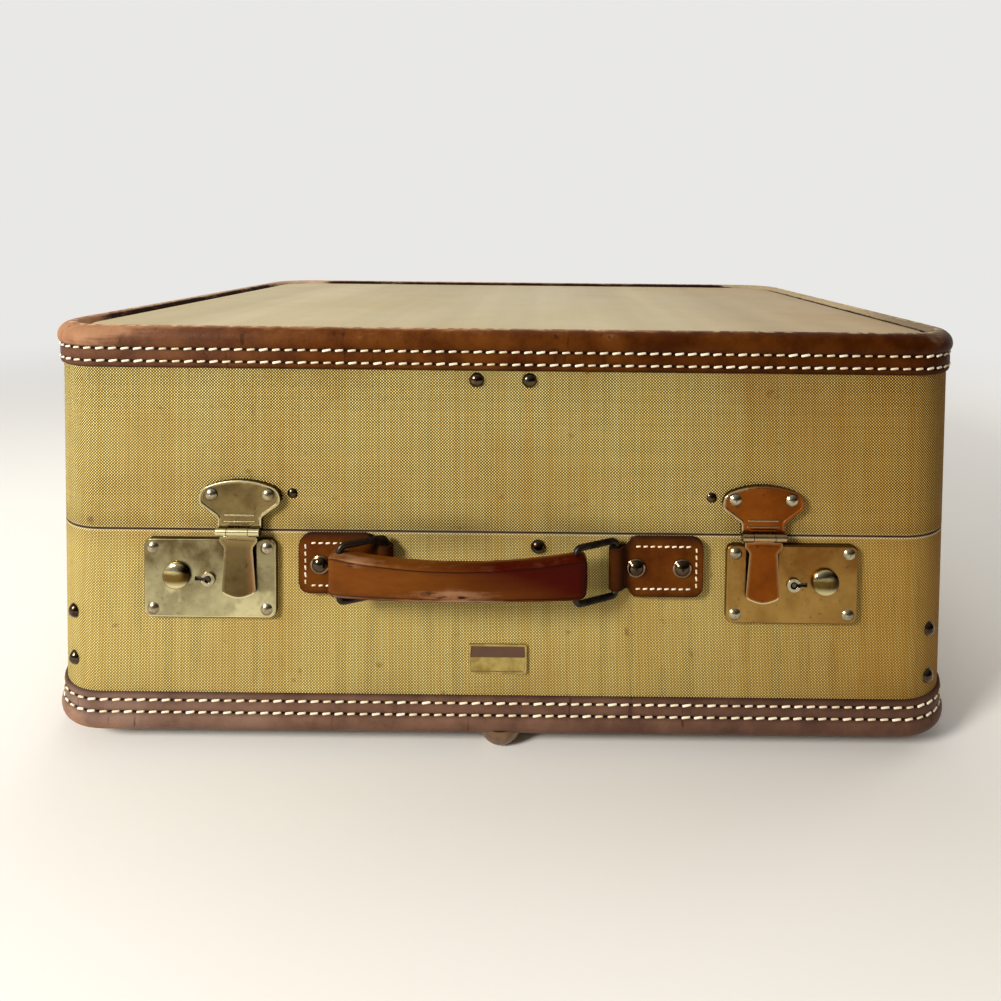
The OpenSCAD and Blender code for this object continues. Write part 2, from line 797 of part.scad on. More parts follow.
// At rest both rings lean to the left, and the handle hangs over the left tab
module handle_ring(side) {
    color("dimgray") on_front() translate([side * handle_span / 2, -fold_out, -handle_drop])
        rotate([0, 0, 180 + ring_rest]) wire_ring();
}

module at_handle() {
    on_front() translate([-pin_shift, -pin_out, -handle_drop]) children();
}

// A bowed strip of the given size, between its two arcs
module bowed_strip(length, thickness) {
    intersection() {
        translate([0, bow_r - handle_bow]) difference() {
            circle(bow_r + thickness / 2, $fn = wide_fn);
            circle(bow_r - thickness / 2, $fn = wide_fn);
        }
        translate([-length / 2, -2 * handle_t - handle_bow]) square([length, 4 * handle_t]);
    }
}

module handle_grip() {
    color("chocolate") at_handle() difference() {
        intersection() {
            translate([0, 0, -handle_end_h / 2]) linear_extrude(handle_end_h)
                bowed_strip(handle_len, handle_t);
            translate([0, 2 * handle_span, 0]) raise(4 * handle_span) difference() {
                square([handle_len, handle_end_h], center = true);
                for (z = [-1, 1]) translate([0, z * (handle_mid_h / 2 + waist_r)])
                    circle(waist_r, $fn = wide_fn);
            }
        }
        for (side = [-1, 1]) translate([side * handle_span / 2, 0, -handle_end_h])
            cylinder(r = wire_r + run_gap, h = 2 * handle_end_h);
        translate([0, 0, -core_h / 2 - glue_gap]) linear_extrude(core_h + 2 * glue_gap)
            bowed_strip(core_len + 2 * glue_gap, core_t + 2 * glue_gap);
    }
}

module handle_core() {
    color("gray") at_handle() translate([0, 0, -core_h / 2]) linear_extrude(core_h)
        bowed_strip(core_len, core_t);
}

// Hinges on the back, with a heel on the lid's knuckle that meets the base leaf when the lid is open

module at_hinge() {
    on_back() translate([hinge_x, 0, 0]) children();
}

module along_hinge_axis(w) {
    translate([-w / 2, hinge_out, 0]) rotate([0, 90, 0]) children();
}

module hinge_rivet_places() {
    edge_in = 8;
    for (x = [-1, 0, 1]) translate([x * (hinge_len / 2 - edge_in), 0, hinge_leaf_h - edge_in])
        rotate([-90, 0, 0]) children();
}

// The leaf of the lid, with z up; the base leaf is the same sheet turned down
module hinge_leaf() {
    near = hinge_barrel_r + pass_gap;
    leaf_corner_r = 3;
    leaf_h = hinge_leaf_h - near;
    difference() {
        translate([0, hinge_leaf_t, near + leaf_h / 2]) raise(hinge_leaf_t) union() {
            rounded_rect(hinge_len, leaf_h, leaf_corner_r);
            translate([-hinge_len / 2, -leaf_h / 2]) square([hinge_len, leaf_h / 2]);
        }
        translate([0, -1, 0]) hinge_rivet_places()
            cylinder(r = plate_shank_r + press_gap, h = hinge_leaf_t + 2);
    }
}

module lid_hinge() {
    knuckle_w = hinge_knuckle_w - 2 * pass_gap;
    heel_t = 2;
    heel_w = knuckle_w - 2;
    heel_face = hinge_out - hinge_leaf_t - pass_gap;
    heel_root = hinge_pin_r + 0.5;
    color("darkgoldenrod") at_hinge() difference() {
        union() {
            hinge_leaf();
            translate([-knuckle_w / 2, 0, 0]) cube([knuckle_w, hinge_leaf_t, hinge_barrel_r + 1]);
            along_hinge_axis(knuckle_w) cylinder(r = hinge_barrel_r, h = knuckle_w);
            translate([0, hinge_out, 0]) rotate([lid_open, 0, 0])
                translate([-heel_w / 2, -heel_face, -heel_len])
                    cube([heel_w, heel_t, heel_len - heel_root]);
        }
        along_hinge_axis(hinge_len) cylinder(r = hinge_pin_r + run_gap, h = hinge_len);
    }
}

module base_hinge() {
    outer_w = (hinge_len - hinge_knuckle_w) / 2;
    color("darkgoldenrod") at_hinge() difference() {
        union() {
            mirror([0, 0, 1]) hinge_leaf();
            for (x = [-hinge_len / 2, hinge_knuckle_w / 2]) {
                translate([x, 0, -hinge_barrel_r - 1]) cube([outer_w, hinge_leaf_t, hinge_barrel_r + 1]);
                translate([x, hinge_out, 0]) rotate([0, 90, 0]) cylinder(r = hinge_barrel_r, h = outer_w);
            }
        }
        along_hinge_axis(hinge_len + 2) cylinder(r = hinge_pin_r + press_gap, h = hinge_len + 2);
    }
}

module hinge_pins() {
    color("silver") for (side = [0, 1]) mirror([side, 0, 0])
        at_hinge() along_hinge_axis(hinge_len) cylinder(r = hinge_pin_r, h = hinge_len);
}

module hinge_rivets() {
    for (side = [0, 1]) mirror([side, 0, 0])
        at_hinge() translate([0, hinge_leaf_t, 0]) hinge_rivet_places()
            rivet(plate_rivet_r, plate_rivet_h, plate_shank_r, hinge_leaf_t);
}

module lid_hinge_rivets() {
    color("silver") hinge_rivets();
}

module base_hinge_rivets() {
    color("silver") mirror([0, 0, 1]) hinge_rivets();
}

place() base_rim();
place() base_panel();
place() base_binding();
place() inner_band();
place() base_lining();
place() bottom_feet();
place() base_studs();
place() corner_rivets();
place() front_rivet();
place() badge_plate();
place() left_side() lock_plate();  // lock_plate_left
place() lock_plate();  // lock_plate_right
place() left_side() lock_back();  // lock_back_left
place() lock_back();  // lock_back_right
place() left_side() key_barrel();  // key_barrel_left
place() key_barrel();  // key_barrel_right
place() lock_rivets();
place() left_side() handle_tab();  // handle_tab_left
place() handle_tab();  // handle_tab_right
place() tab_rivets();
place() left_side() base_hinge();  // base_hinge_left
place() base_hinge();  // base_hinge_right
place() hinge_pins();
place() base_hinge_rivets();
place() lid_rim();
place() lid_panel();
place() lid_binding();
place() lid_lining();
place() left_side() hasp_plate();  // hasp_plate_left
place() hasp_plate();  // hasp_plate_right
place() hasp_pins();
place() hasp_rivets();
place() lid_rivets();
place() hasp_side_rivets();
place() left_side() lid_hinge();  // lid_hinge_left
place() lid_hinge();  // lid_hinge_right
place() lid_hinge_rivets();
place() lid_studs();
place() left_side() hasp_tongue();  // hasp_tongue_left
place() hasp_tongue();  // hasp_tongue_right
place() left_side() lock_slide();  // lock_slide_left
place() lock_slide();  // lock_slide_right
place() left_side() slide_knob();  // slide_knob_left
place() slide_knob();  // slide_knob_right
place() left_side() lock_spring();  // lock_spring_left
place() lock_spring();  // lock_spring_right
place() handle_ring(-1);  // handle_ring_left
place() handle_ring(1);  // handle_ring_right
place() handle_grip();
place() handle_core();
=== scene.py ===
from math import atan2, ceil, cos, hypot, pi, radians, sin, sqrt

import bmesh
import bpy
from mathutils import Matrix, Vector, noise


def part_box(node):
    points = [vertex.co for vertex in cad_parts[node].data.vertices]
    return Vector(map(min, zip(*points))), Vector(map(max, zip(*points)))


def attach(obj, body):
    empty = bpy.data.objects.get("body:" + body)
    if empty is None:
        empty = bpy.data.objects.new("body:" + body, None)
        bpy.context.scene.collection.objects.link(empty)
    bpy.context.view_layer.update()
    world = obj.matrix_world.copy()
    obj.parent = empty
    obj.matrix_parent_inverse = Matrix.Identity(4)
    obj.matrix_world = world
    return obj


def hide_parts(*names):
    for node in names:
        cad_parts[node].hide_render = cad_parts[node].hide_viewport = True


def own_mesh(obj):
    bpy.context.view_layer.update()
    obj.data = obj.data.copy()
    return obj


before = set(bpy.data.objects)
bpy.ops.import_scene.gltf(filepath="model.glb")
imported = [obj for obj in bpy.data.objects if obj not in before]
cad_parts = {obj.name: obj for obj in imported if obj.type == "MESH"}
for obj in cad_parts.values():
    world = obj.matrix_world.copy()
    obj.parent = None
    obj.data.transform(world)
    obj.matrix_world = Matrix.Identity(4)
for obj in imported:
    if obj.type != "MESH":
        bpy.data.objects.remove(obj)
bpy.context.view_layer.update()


# Canvas walls
# Coarse plain-weave canvas glued over two bent board rings, one for the base and one for the lid.
# The cloth is turned over the edges at the seam, so those edges are soft.

mm = 0.001
base_low, base_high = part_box("base_rim")
half_w = base_high.x
half_d = (base_high.y - base_low.y) / 2
mid_y = (base_high.y + base_low.y) / 2
back_y = base_high.y
seam_z = (base_high.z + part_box("lid_rim")[0].z) / 2
corner_r = 35 * mm
wall_t = 5 * mm
flat_x = half_w - corner_r
flat_y = half_d - corner_r
quarter = corner_r * pi / 2
girth = 4 * (flat_x + flat_y + quarter)
thread_count = 2080
thread = girth / thread_count
reed_marks = 105

# Each side's outward direction, half of its straight stretch, its reach from the middle,
# and the run to its middle.
sides = (
    (Vector((0, 1)), flat_x, half_d, 0),
    (Vector((-1, 0)), flat_y, half_w, flat_x + quarter + flat_y),
    (Vector((0, -1)), flat_x, half_d, girth / 2),
    (Vector((1, 0)), flat_y, half_w, girth / 2 + flat_x + quarter + flat_y),
)


def heading(outward):
    return Vector((-outward.y, outward.x))


def on_plan(co):
    """Run round the case from the middle of the back, and distance outwards from the canvas."""
    here = Vector((co.x, co.y - mid_y))
    hair = 1e-7
    for outward, flat, reach, middle in sides:
        across = here.dot(outward) - (reach - corner_r)
        along = here.dot(heading(outward))
        if across >= -hair and -flat - hair <= along <= flat + hair:
            return middle + along, across - corner_r
        if across > 0 and along > flat:
            past = along - flat
            return middle + flat + corner_r * atan2(past, across), hypot(past, across) - corner_r
    return 0, 0


def ends(node, up):
    """The heights where a node begins and ends, going up or down."""
    low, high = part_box(node)
    return (low.z, high.z) if up > 0 else (high.z, low.z)


def fade(distance, reach):
    """One at no distance, falling evenly to nothing at the reach."""
    return max(0, 1 - distance / reach)


def arc(out, z, r, up, angles):
    """Points of an upright arc as (outwards, height)."""
    return [(out + r * cos(radians(t)), z + up * r * sin(radians(t))) for t in angles]


def outline(bm, points, closed=True):
    """Vertices and edges in a line through the points."""
    rim = [bm.verts.new(point) for point in points]
    return rim + [bm.edges.new(pair) for pair in zip(rim, rim[1:] + rim[:1] if closed else rim[1:])]


def sweep(bm, line, steps, step=(0, 0, 0), centre=(0, 0, 0), angle=0):
    """Carries a line on, straight or round an upright axis, and gives the line at the end."""
    swept = bmesh.ops.spin(bm, geom=line, cent=centre, axis=(0, 0, 1), dvec=step, angle=angle, steps=steps)
    return [g for g in swept["geom_last"] if not isinstance(g, bmesh.types.BMFace)]


def close_up(bm):
    """Joins vertices that meet, and turns all faces outwards."""
    bmesh.ops.remove_doubles(bm, verts=bm.verts, dist=1e-6)
    bmesh.ops.recalc_face_normals(bm, faces=bm.faces)


def carry_round(bm, profile, corner_steps=14, stride=20 * mm):
    """Carries a closed upright profile of (outwards, height) once round the case."""
    line = outline(bm, [(flat_x, back_y + out, z) for out, z in profile])
    for outward, flat, reach, middle in sides:
        steps = ceil(2 * flat / stride)
        ahead = heading(outward) * (2 * flat / steps)
        line = sweep(bm, line, steps, step=(ahead.x, ahead.y, 0))
        centre = outward * (reach - corner_r) + heading(outward) * flat
        line = sweep(bm, line, corner_steps, centre=(centre.x, centre.y + mid_y, 0), angle=pi / 2)
    close_up(bm)


def map_round(bm, name, pitch, height):
    """Maps the faces by their run round the case, and by a height from z and the distance outwards."""
    uv = bm.loops.layers.uv.new(name)
    for face in bm.faces:
        places = [on_plan(loop.vert.co) for loop in face.loops]
        furthest = max(run for run, out in places)
        for loop, (run, out) in zip(face.loops, places):
            if furthest - run > girth / 2:
                run += girth
            loop[uv].uv = (run / pitch, height(loop.vert.co.z, out))


def marks(parts, *names):
    """New layers of values on vertices or faces, for a finish to read."""
    return [parts.layers.float.new(name) for name in names]


def add(name, data):
    thing = bpy.data.objects.new(name, data)
    bpy.context.scene.collection.objects.link(thing)
    return thing


def make(bm, name, finish):
    mesh = bpy.data.meshes.new(name)
    bm.to_mesh(mesh)
    bm.free()
    mesh.materials.append(finish.material)
    return add(name, mesh)


def fit(bm, name, finish, body, slot, *nodes, smooth=38):
    """Makes a finished piece that rides on its body and stands for the nodes named."""
    piece = make(bm, name, finish)
    piece.data.shade_smooth()
    piece.data.set_sharp_from_angle(angle=radians(smooth))
    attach(piece, body)
    if nodes:
        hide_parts(*nodes)
    return piece


def dye(red, green, blue):
    """A colour as the eye reads it, 0 to 255, in linear light."""
    return tuple(((c / 255 + 0.055) / 1.055) ** 2.4 if c > 10 else c / 255 / 12.92
                 for c in (red, green, blue)) + (1,)


class Value:
    """What a socket in a node tree gives. Arithmetic on it puts math nodes in the tree."""

    def __init__(self, tree, socket):
        self.tree = tree
        self.socket = socket

    def __add__(self, other):
        return calc("ADD", self, other)

    def __sub__(self, other):
        return calc("SUBTRACT", self, other)

    def __rsub__(self, other):
        return calc("SUBTRACT", other, self)

    def __mul__(self, other):
        return calc("MULTIPLY", self, other)

    def __abs__(self):
        return calc("ABSOLUTE", self)

    def toward(self, factor, *colour):
        """This colour, mixed with another."""
        return mixed(factor, self, dye(*colour))

    def toned(self, factor, *colour):
        """This colour, multiplied by another."""
        return mixed(factor, self, dye(*colour), "MULTIPLY")


def feed(socket, value):
    if isinstance(value, Value):
        value.tree.links.new(value.socket, socket)
    else:
        socket.default_value = value


def put(tree, kind, inputs=None, **settings):
    node = tree.nodes.new(kind)
    for key, value in settings.items():
        setattr(node, key, value)
    for key, value in (inputs or {}).items():
        feed(node.inputs[key], value)
    return node


def given(tree, output, kind, inputs=None, **settings):
    """The value of one output of a new node."""
    return Value(tree, put(tree, kind, inputs, **settings).outputs[output])


def calc(operation, *values):
    tree = next(value.tree for value in values if isinstance(value, Value))
    return given(tree, 0, "ShaderNodeMath", dict(enumerate(values)), operation=operation)


def mixed(factor, first, second, way="MIX"):
    inputs = {0: factor, 6: first, 7: second}
    return given(factor.tree, 2, "ShaderNodeMix", inputs, data_type="RGBA", blend_type=way)


def clouds(vector, scale, detail=4, roughness=0.55):
    return given(vector.tree, 0, "ShaderNodeTexNoise",
                 {"Vector": vector, "Scale": scale, "Detail": detail, "Roughness": roughness})


def between(value, low, high, first=0.0, last=1.0):
    limits = {"Value": value, "From Min": low, "From Max": high, "To Min": first, "To Max": last}
    return given(value.tree, 0, "ShaderNodeMapRange", limits, interpolation_type="SMOOTHSTEP")


def stretched(vector, *scale):
    return given(vector.tree, 0, "ShaderNodeMapping", {"Vector": vector, "Scale": scale})


def split(vector):
    node = put(vector.tree, "ShaderNodeSeparateXYZ", {"Vector": vector})
    return [Value(vector.tree, axis) for axis in node.outputs]


def joined(x, y, z=0.0):
    return given(x.tree, 0, "ShaderNodeCombineXYZ", {"X": x, "Y": y, "Z": z})


def new_group(name, takes, gives):
    """A node group, the values of its inputs, and its outputs. Takes is names with socket kinds."""
    tree = bpy.data.node_groups.new(name, "ShaderNodeTree")
    for key, kind in takes.items():
        tree.interface.new_socket(key, in_out="INPUT", socket_type="NodeSocket" + kind)
    for key in gives:
        tree.interface.new_socket(key, in_out="OUTPUT", socket_type="NodeSocketFloat")
    entry = put(tree, "NodeGroupInput")
    return tree, [Value(tree, entry.outputs[key]) for key in takes], put(tree, "NodeGroupOutput").inputs


def use_group(group, vector, **inputs):
    """The values that a group gives. Its first input is a vector."""
    node = put(vector.tree, "ShaderNodeGroup", node_tree=group)
    feed(node.inputs[0], vector)
    for key, value in inputs.items():
        feed(node.inputs[key], value)
    return {output.name: Value(vector.tree, output) for output in node.outputs}


class Finish:
    """A material with its shader and its object coordinates. Plain values go on the shader's sockets."""

    def __init__(self, name, **plain):
        self.material = bpy.data.materials.new(name)
        self.material.use_nodes = True
        self.tree = self.material.node_tree
        self.tree.nodes.clear()
        self.shader = put(self.tree, "ShaderNodeBsdfPrincipled")
        self.tree.links.new(self.shader.outputs[0], put(self.tree, "ShaderNodeOutputMaterial").inputs[0])
        for key, value in plain.items():
            self.feed(key.replace("_", " "), value)
        self.place = given(self.tree, "Object", "ShaderNodeTexCoord")

    def feed(self, key, value):
        feed(self.shader.inputs[key], value)

    def mark(self, name):
        return given(self.tree, "Fac", "ShaderNodeAttribute", attribute_name=name)

    def uv(self, name):
        return given(self.tree, 0, "ShaderNodeUVMap", uv_map=name)

    def paint(self, colour, rough, height, depth, strength):
        """Colours and roughens the surface, and raises it by a height."""
        self.feed("Base Color", colour)
        self.feed("Roughness", rough)
        raised = {"Height": height, "Distance": depth, "Strength": strength}
        self.feed("Normal", given(self.tree, 0, "ShaderNodeBump", raised))


# A plain weave: which thread lies on top, how high it stands there, and that thread's own tone.
weave, (threads,), w_out = new_group("Plain weave", {"Threads": "Vector"}, ("Height", "Over", "Tone"))
x, y, z = split(threads)
column, row = calc("FLOOR", x), calc("FLOOR", y)
side_x = x - column - 0.5
side_y = y - row - 0.5
over = calc("FLOORED_MODULO", column + row, 2.0)
under = 1.0 - over
across = side_x * under + side_y * over
along = side_y * under + side_x * over
round_top = 1.0 - calc("POWER", abs(across) * 2.1, 2.0)
arch = calc("COSINE", along * 2.6)
feed(w_out["Height"], calc("SQRT", calc("MAXIMUM", round_top, 0.0)) * (arch * 0.6 + 0.4))
which = column * under + row * over
length = y * under + x * over
own = given(weave, 0, "ShaderNodeTexWhiteNoise", {"Vector": joined(which, over)}, noise_dimensions="2D")
slub = clouds(joined(which * 7.3, length * 0.11, over), 1.0, 3)
feed(w_out["Tone"], slub * 0.8 + (own * 0.8 - 0.25))
feed(w_out["Over"], over)

canvas = Finish("canvas", Specular_IOR_Level=0.1)
threads = canvas.uv("threads")
cloth = use_group(weave, threads)
pale = canvas.mark("pale")
warp = mixed(cloth["Tone"], dye(248, 216, 114), dye(255, 243, 166))
# On the base the weft is painted paler: painted light, standing in for more light on the base.
weft = mixed(cloth["Tone"], dye(72, 48, 13), dye(124, 90, 33)).toward(pale * 0.8, 170, 136, 70)
reed = calc("COSINE", split(threads)[0] * (2 * pi * reed_marks / thread_count))
loose = between(reed * 0.2 + clouds(stretched(canvas.place, 75, 75, 26), 1.0, 3), 0.64, 0.76)
weft = weft.toward(loose * 0.4, 40, 24, 6)
colour = mixed(between(cloth["Height"], 0.38, 0.82), dye(26, 15, 4), mixed(cloth["Over"], warp, weft))
stain = between(clouds(canvas.place, 11, 5, 0.6), 0.42, 0.72)
colour = colour.toned(stain * 0.34, 220, 180, 110)
# Patches where the cloth has faded.
made_paler = between(clouds(canvas.place, 5, 3), 0.5, 0.75)
colour = colour.toward(made_paler * 0.14, 216, 194, 116)
spots = between(clouds(canvas.place, 85, 3, 0.5), 0.68, 0.76, 0.0, 0.5)
colour = colour.toned(spots, 150, 104, 52)
# Dirt near the bound edges and the seam, and painted shade: the cloth turned in at the seam is painted dark.
colour = colour.toned(canvas.mark("grime_and_shade") * 0.6, 128, 96, 46)
# Painted shade: the right of the front is darker and browner, most of all at its end. The left end is a
# little darker.
x, y, z = split(canvas.place)
shaded_right = between(x, 0.06, 0.25, 0.0, 0.85) * between(y, -0.1, -0.15, 0.35, 1.0)
colour = colour.toned(shaded_right, 224, 194, 144)
shaded_right = between(x, 0.225, 0.25, 0.0, 0.75) * between(y, -0.1, -0.15)
colour = colour.toned(shaded_right, 204, 174, 100)
colour = colour.toned(between(x, -0.205, -0.245), 238, 236, 232)
from_seam = abs(z - seam_z)
frayed = between(from_seam, 1.8 * mm, 1.1 * mm) * (1.0 - cloth["Over"]) * (pale * 0.4 + 0.2)
colour = colour.toward(frayed, 252, 236, 198)
# Painted shade: a dark line along the seam, on the outside of the cloth.
seam_shade = between(from_seam, 0.8 * mm, 0.4 * mm, 0.0, 0.9) * canvas.mark("outer")
colour = colour.toned(seam_shade, 74, 40, 14)
canvas.paint(colour, between(cloth["Height"], 0.0, 1.0, 0.95, 0.7), cloth["Height"], 0.3 * mm, 0.8)


def canvas_wall(half, up, made_paler):
    """A wall from the bound edge to the seam, with the cloth turned over at the seam."""
    z_edge, z_seam = ends(half + "_rim", up)
    soft = 0.6 * mm
    z_soft = z_seam - up * soft
    rows = 9
    profile = [(0, z_edge + (z_soft - z_edge) * i / rows) for i in range(rows + 1)]
    profile += arc(-soft, z_soft, soft, up, (22, 45, 68, 90))
    profile += arc(soft - wall_t, z_soft, soft, up, (112, 135, 158, 180))
    profile += [(-wall_t, z_edge)]
    bm = bmesh.new()
    carry_round(bm, profile)
    map_round(bm, "threads", thread, lambda z, out: (z - up * out) / thread)
    grime_and_shade, pale, outer = marks(bm.verts, "grime_and_shade", "pale", "outer")
    seam_reach, edge_reach = 12 * mm, 40 * mm
    for v in bm.verts:
        out = on_plan(v.co)[1]
        near = min(abs(v.co.z - z_seam) / seam_reach, abs(v.co.z - z_edge) / edge_reach)
        # Dirt near the edge and the seam, with painted shade on the cloth turned in at the seam.
        v[grime_and_shade] = max(max(0, -out) / soft, fade(near, 1) * (0.4 + 0.8 * noise.noise(v.co * 25)))
        # The base's canvas is painted paler than the lid's, as painted light.
        v[pale] = made_paler
        v[outer] = out > -1.01 * soft
    fit(bm, half + "_canvas", canvas, half, "canvas", half + "_rim")


canvas_wall("base", 1, 1.0)
canvas_wall("lid", -1, 0.0)


# Top and bottom boards
# Flat boards in glazed cloth, let into the walls a little below the crest of the leather roll.
# A narrow groove is left between each board and the roll.

board_thread = mm / 0.78
board_crown = 0.9 * mm
groove_depth = 2 * mm
board_cloth = Finish("glazed_cloth", Specular_IOR_Level=0.45, Coat_Weight=0.12, Coat_Roughness=0.35)
place = board_cloth.place
cloth = use_group(weave, stretched(place, *(1 / board_thread,) * 3))
# Painted reflection: soft streaks along the board, from front to back.
reflected_streaks = clouds(stretched(place, 17, 0.9, 4), 1.0, 3)
blotch = clouds(place, 7, 5, 0.6)
colour = mixed(between(reflected_streaks, 0.32, 0.68), dye(160, 142, 98), dye(180, 163, 120))
colour = colour.toward(between(blotch, 0.4, 0.8, 0.0, 0.6), 166, 146, 100)
# Painted shade: the board darkens towards the right.
colour = colour.toned(between(split(place)[0], 0.07, 0.22), 226, 203, 160)
colour = colour.toward(between(cloth["Height"], 0.7, 0.2) * 0.22, 120, 106, 66)
colour = colour.toward(between(clouds(place, 31, 6, 0.7), 0.62, 0.74, 0.0, 0.3), 140, 116, 74)
board_cloth.paint(colour, between(blotch, 0.3, 0.7, 0.4, 0.58), cloth["Height"], 0.12 * mm, 0.6)


def soften(bm, geom, width, segments, affect="EDGES", **more):
    """Rounds edges, or the corners of a flat sheet."""
    return bmesh.ops.bevel(bm, geom=geom, offset=width, offset_type="OFFSET", segments=segments, profile=0.5,
                           affect=affect, material=-1, **more)


def plan_sheet(bm, inset, z, segments):
    """A flat face of the case's plan, smaller all round by an inset."""
    sheet = bmesh.ops.create_grid(bm, x_segments=1, y_segments=1, size=1)["verts"]
    for v in sheet:
        v.co = (v.co.x * (half_w - inset), mid_y + v.co.y * (half_d - inset), z)
    soften(bm, sheet, corner_r - inset, segments, "VERTICES")


def lift(bm, faces, way):
    """Raises faces with walls round them, and gives the raised ones."""
    raised = bmesh.ops.extrude_face_region(bm, geom=faces)["geom"]
    bmesh.ops.translate(bm, verts=[g for g in raised if isinstance(g, bmesh.types.BMVert)], vec=way)
    bmesh.ops.recalc_face_normals(bm, faces=bm.faces)
    return [g for g in raised if isinstance(g, bmesh.types.BMFace)]


def step_in(bm, faces, width, depth):
    """Draws faces in by a width and out by a depth, and gives the faces made round them."""
    made = bmesh.ops.inset_region(bm, faces=faces, thickness=width, depth=depth, use_even_offset=True)
    return made["faces"]


def glazed_board(name, half, up):
    z_inner, z_outer = ends(half + "_panel", up)
    bm = bmesh.new()
    plan_sheet(bm, wall_t + 0.1 * mm, z_inner, 14)
    top = lift(bm, bm.faces[:], (0, 0, z_outer - z_inner + up * (board_crown - groove_depth)))
    for width, rise in ((6.9, 0), (0.05, 1.6), (0.8, 0.4), (9, 0.3), (10, 0.2)):
        step_in(bm, top, width * mm, rise * mm)
    fit(bm, name, board_cloth, half, "panel_canvas", half + "_panel", smooth=50)


glazed_board("top_board", "lid", 1)
glazed_board("bottom_board", "base", -1)


# Leather binding
# A leather strip rolled over each outer edge of the case, with its flat part laid on the canvas.
# Two rows of waxed thread hold it, one close under the roll and one near the edge of the strip.

roll_r = 7 * mm
roll_in = 4 * mm
band_reach = 22 * mm
band_out = 1.55 * mm
stitch_rows = (11.8 * mm, 18.4 * mm)
stitch_count = 246
stitch_pitch = girth / stitch_count
lid_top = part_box("lid_binding")[1].z
front_y = base_low.y

grain, (place, size), g_out = new_group("Leather grain", {"Vector": "Vector", "Size": "Float"},
                                        ("Height", "Mottle"))
cells = given(grain, "Distance", "ShaderNodeTexVoronoi", {"Vector": place, "Scale": size, "Randomness": 0.9},
              feature="DISTANCE_TO_EDGE")
feed(g_out["Height"], clouds(place, size * 2.4, 3) * 0.5 + between(cells, 0.0, 0.16))
feed(g_out["Mottle"], clouds(place, size * 0.06, 6, 0.65))

scuff, (place, where), s_out = new_group("Scuffs", {"Vector": "Vector", "Where": "Float"}, ("Mask",))
scratched = clouds(stretched(place, 90, 240, 700), 1.0, 3)
patchy = scratched * 0.35 + clouds(place, 42, 8, 0.68) * 0.75
feed(s_out["Mask"], between(patchy + where * 0.62, 0.7, 1.08))

binding = Finish("binding_leather", Specular_IOR_Level=0.04)
place = binding.place
x, y, z = split(place)
hide = use_group(grain, place, Size=700.0)
colour = mixed(between(hide["Mottle"], 0.3, 0.7), dye(62, 26, 3), dye(98, 53, 12))
# Painted shade: the leather darkens towards the right.
colour = colour.toned(between(x, -0.08, 0.24, 0.0, 0.7), 176, 148, 90)
colour = colour.toward(binding.mark("dust") * hide["Mottle"], 134, 110, 98)
# Painted shade in the creases by the stitches and at the band's edge, and in the groove beside the board.
fold = binding.mark("fold")
colour = colour.toward(fold * 0.8, 28, 12, 4)
across, down = split(binding.uv("seam"))[:2]
between_stitches = abs(calc("FRACT", across) - 0.5)
from_row = calc("MINIMUM", *(abs(down - row / mm) for row in stitch_rows))
hole = between(between_stitches, 0.2, 0.08) * between(from_row, 1.0, 0.4)
colour = colour.toward(hole * 0.9, 14, 5, 2)
# Bare leather shows where the roll is worn: paler towards the back, and greyer on the right.
wear = use_group(scuff, place, Where=binding.mark("worn"))["Mask"]
bare = mixed(clouds(place, 120, 4), dye(119, 79, 52), dye(166, 124, 94))
bare = bare.toward(between(y, -0.13, -0.02), 172, 142, 116)
bare_right = mixed(between(y, -0.13, 0.0), dye(112, 97, 77), dye(156, 138, 106))
colour = mixed(wear, colour, mixed(between(x, 0.05, 0.2), bare, bare_right))
cracks = between(clouds(stretched(place, 170, 170, 22), 1.0, 2), 0.66, 0.71, 0.0, 0.6)
colour = colour.toward(cracks, 40, 18, 6)
flecks = between(clouds(stretched(place, 240, 240, 1), 1.0, 3), 0.5, 0.58, 0.0, 0.55)
colour = colour.toward(flecks * between(z, lid_top - 0.5 * mm, lid_top - 0.1 * mm), 206, 180, 138)
rough = wear * 0.25 + between(hide["Mottle"], 0.3, 0.7, 0.34, 0.48)
binding.paint(colour, fold * 0.4 + rough, hide["Height"], 0.1 * mm, 0.6)

waxed_thread = Finish("waxed_thread", Specular_IOR_Level=0.3, Sheen_Weight=0.1)
strand = given(waxed_thread.tree, "Fac", "ShaderNodeTexWave",
               {"Vector": waxed_thread.place, "Scale": 420.0, "Distortion": 2.0}, bands_direction="DIAGONAL")
colour = mixed(waxed_thread.mark("tone"), dye(206, 180, 142), dye(250, 238, 212))
colour = colour.toward(strand * 0.25, 176, 146, 100)
waxed_thread.paint(colour, between(strand, 0.0, 1.0, 0.6, 0.8), strand, 0.1 * mm, 0.5)


def plan_point(run, out):
    """The point at a run round the case and a distance out from the canvas, and the way that it faces."""
    run = (run + flat_x) % girth - flat_x
    for outward, flat, reach, middle in sides:
        along = run - middle
        if along <= flat:
            there = outward * (reach + out) + heading(outward) * along
            return Vector((there.x, there.y + mid_y, 0)), outward
        if along <= flat + quarter:
            turn = (along - flat) / corner_r
            facing = outward * cos(turn) + heading(outward) * sin(turn)
            there = outward * (reach - corner_r) + heading(outward) * flat + facing * (corner_r + out)
            return Vector((there.x, there.y + mid_y, 0)), facing


def stitch(bm, tone, where, facing, along, length, width, thick, slant, shade):
    """One stitch lying on leather: facing is out of the leather, along is the way of the seam."""
    frame_of = Matrix((along, facing, along.cross(facing))).transposed().to_4x4()
    turned = Matrix.Rotation(radians(slant), 4, "Y")
    matrix = Matrix.Translation(where) @ frame_of @ turned @ Matrix.Diagonal((length, thick, width, 1))
    for v in bmesh.ops.create_cube(bm, size=1, matrix=matrix)["verts"]:
        v[tone] = shade


def clamp(value, least=0):
    return min(1, max(least, value))


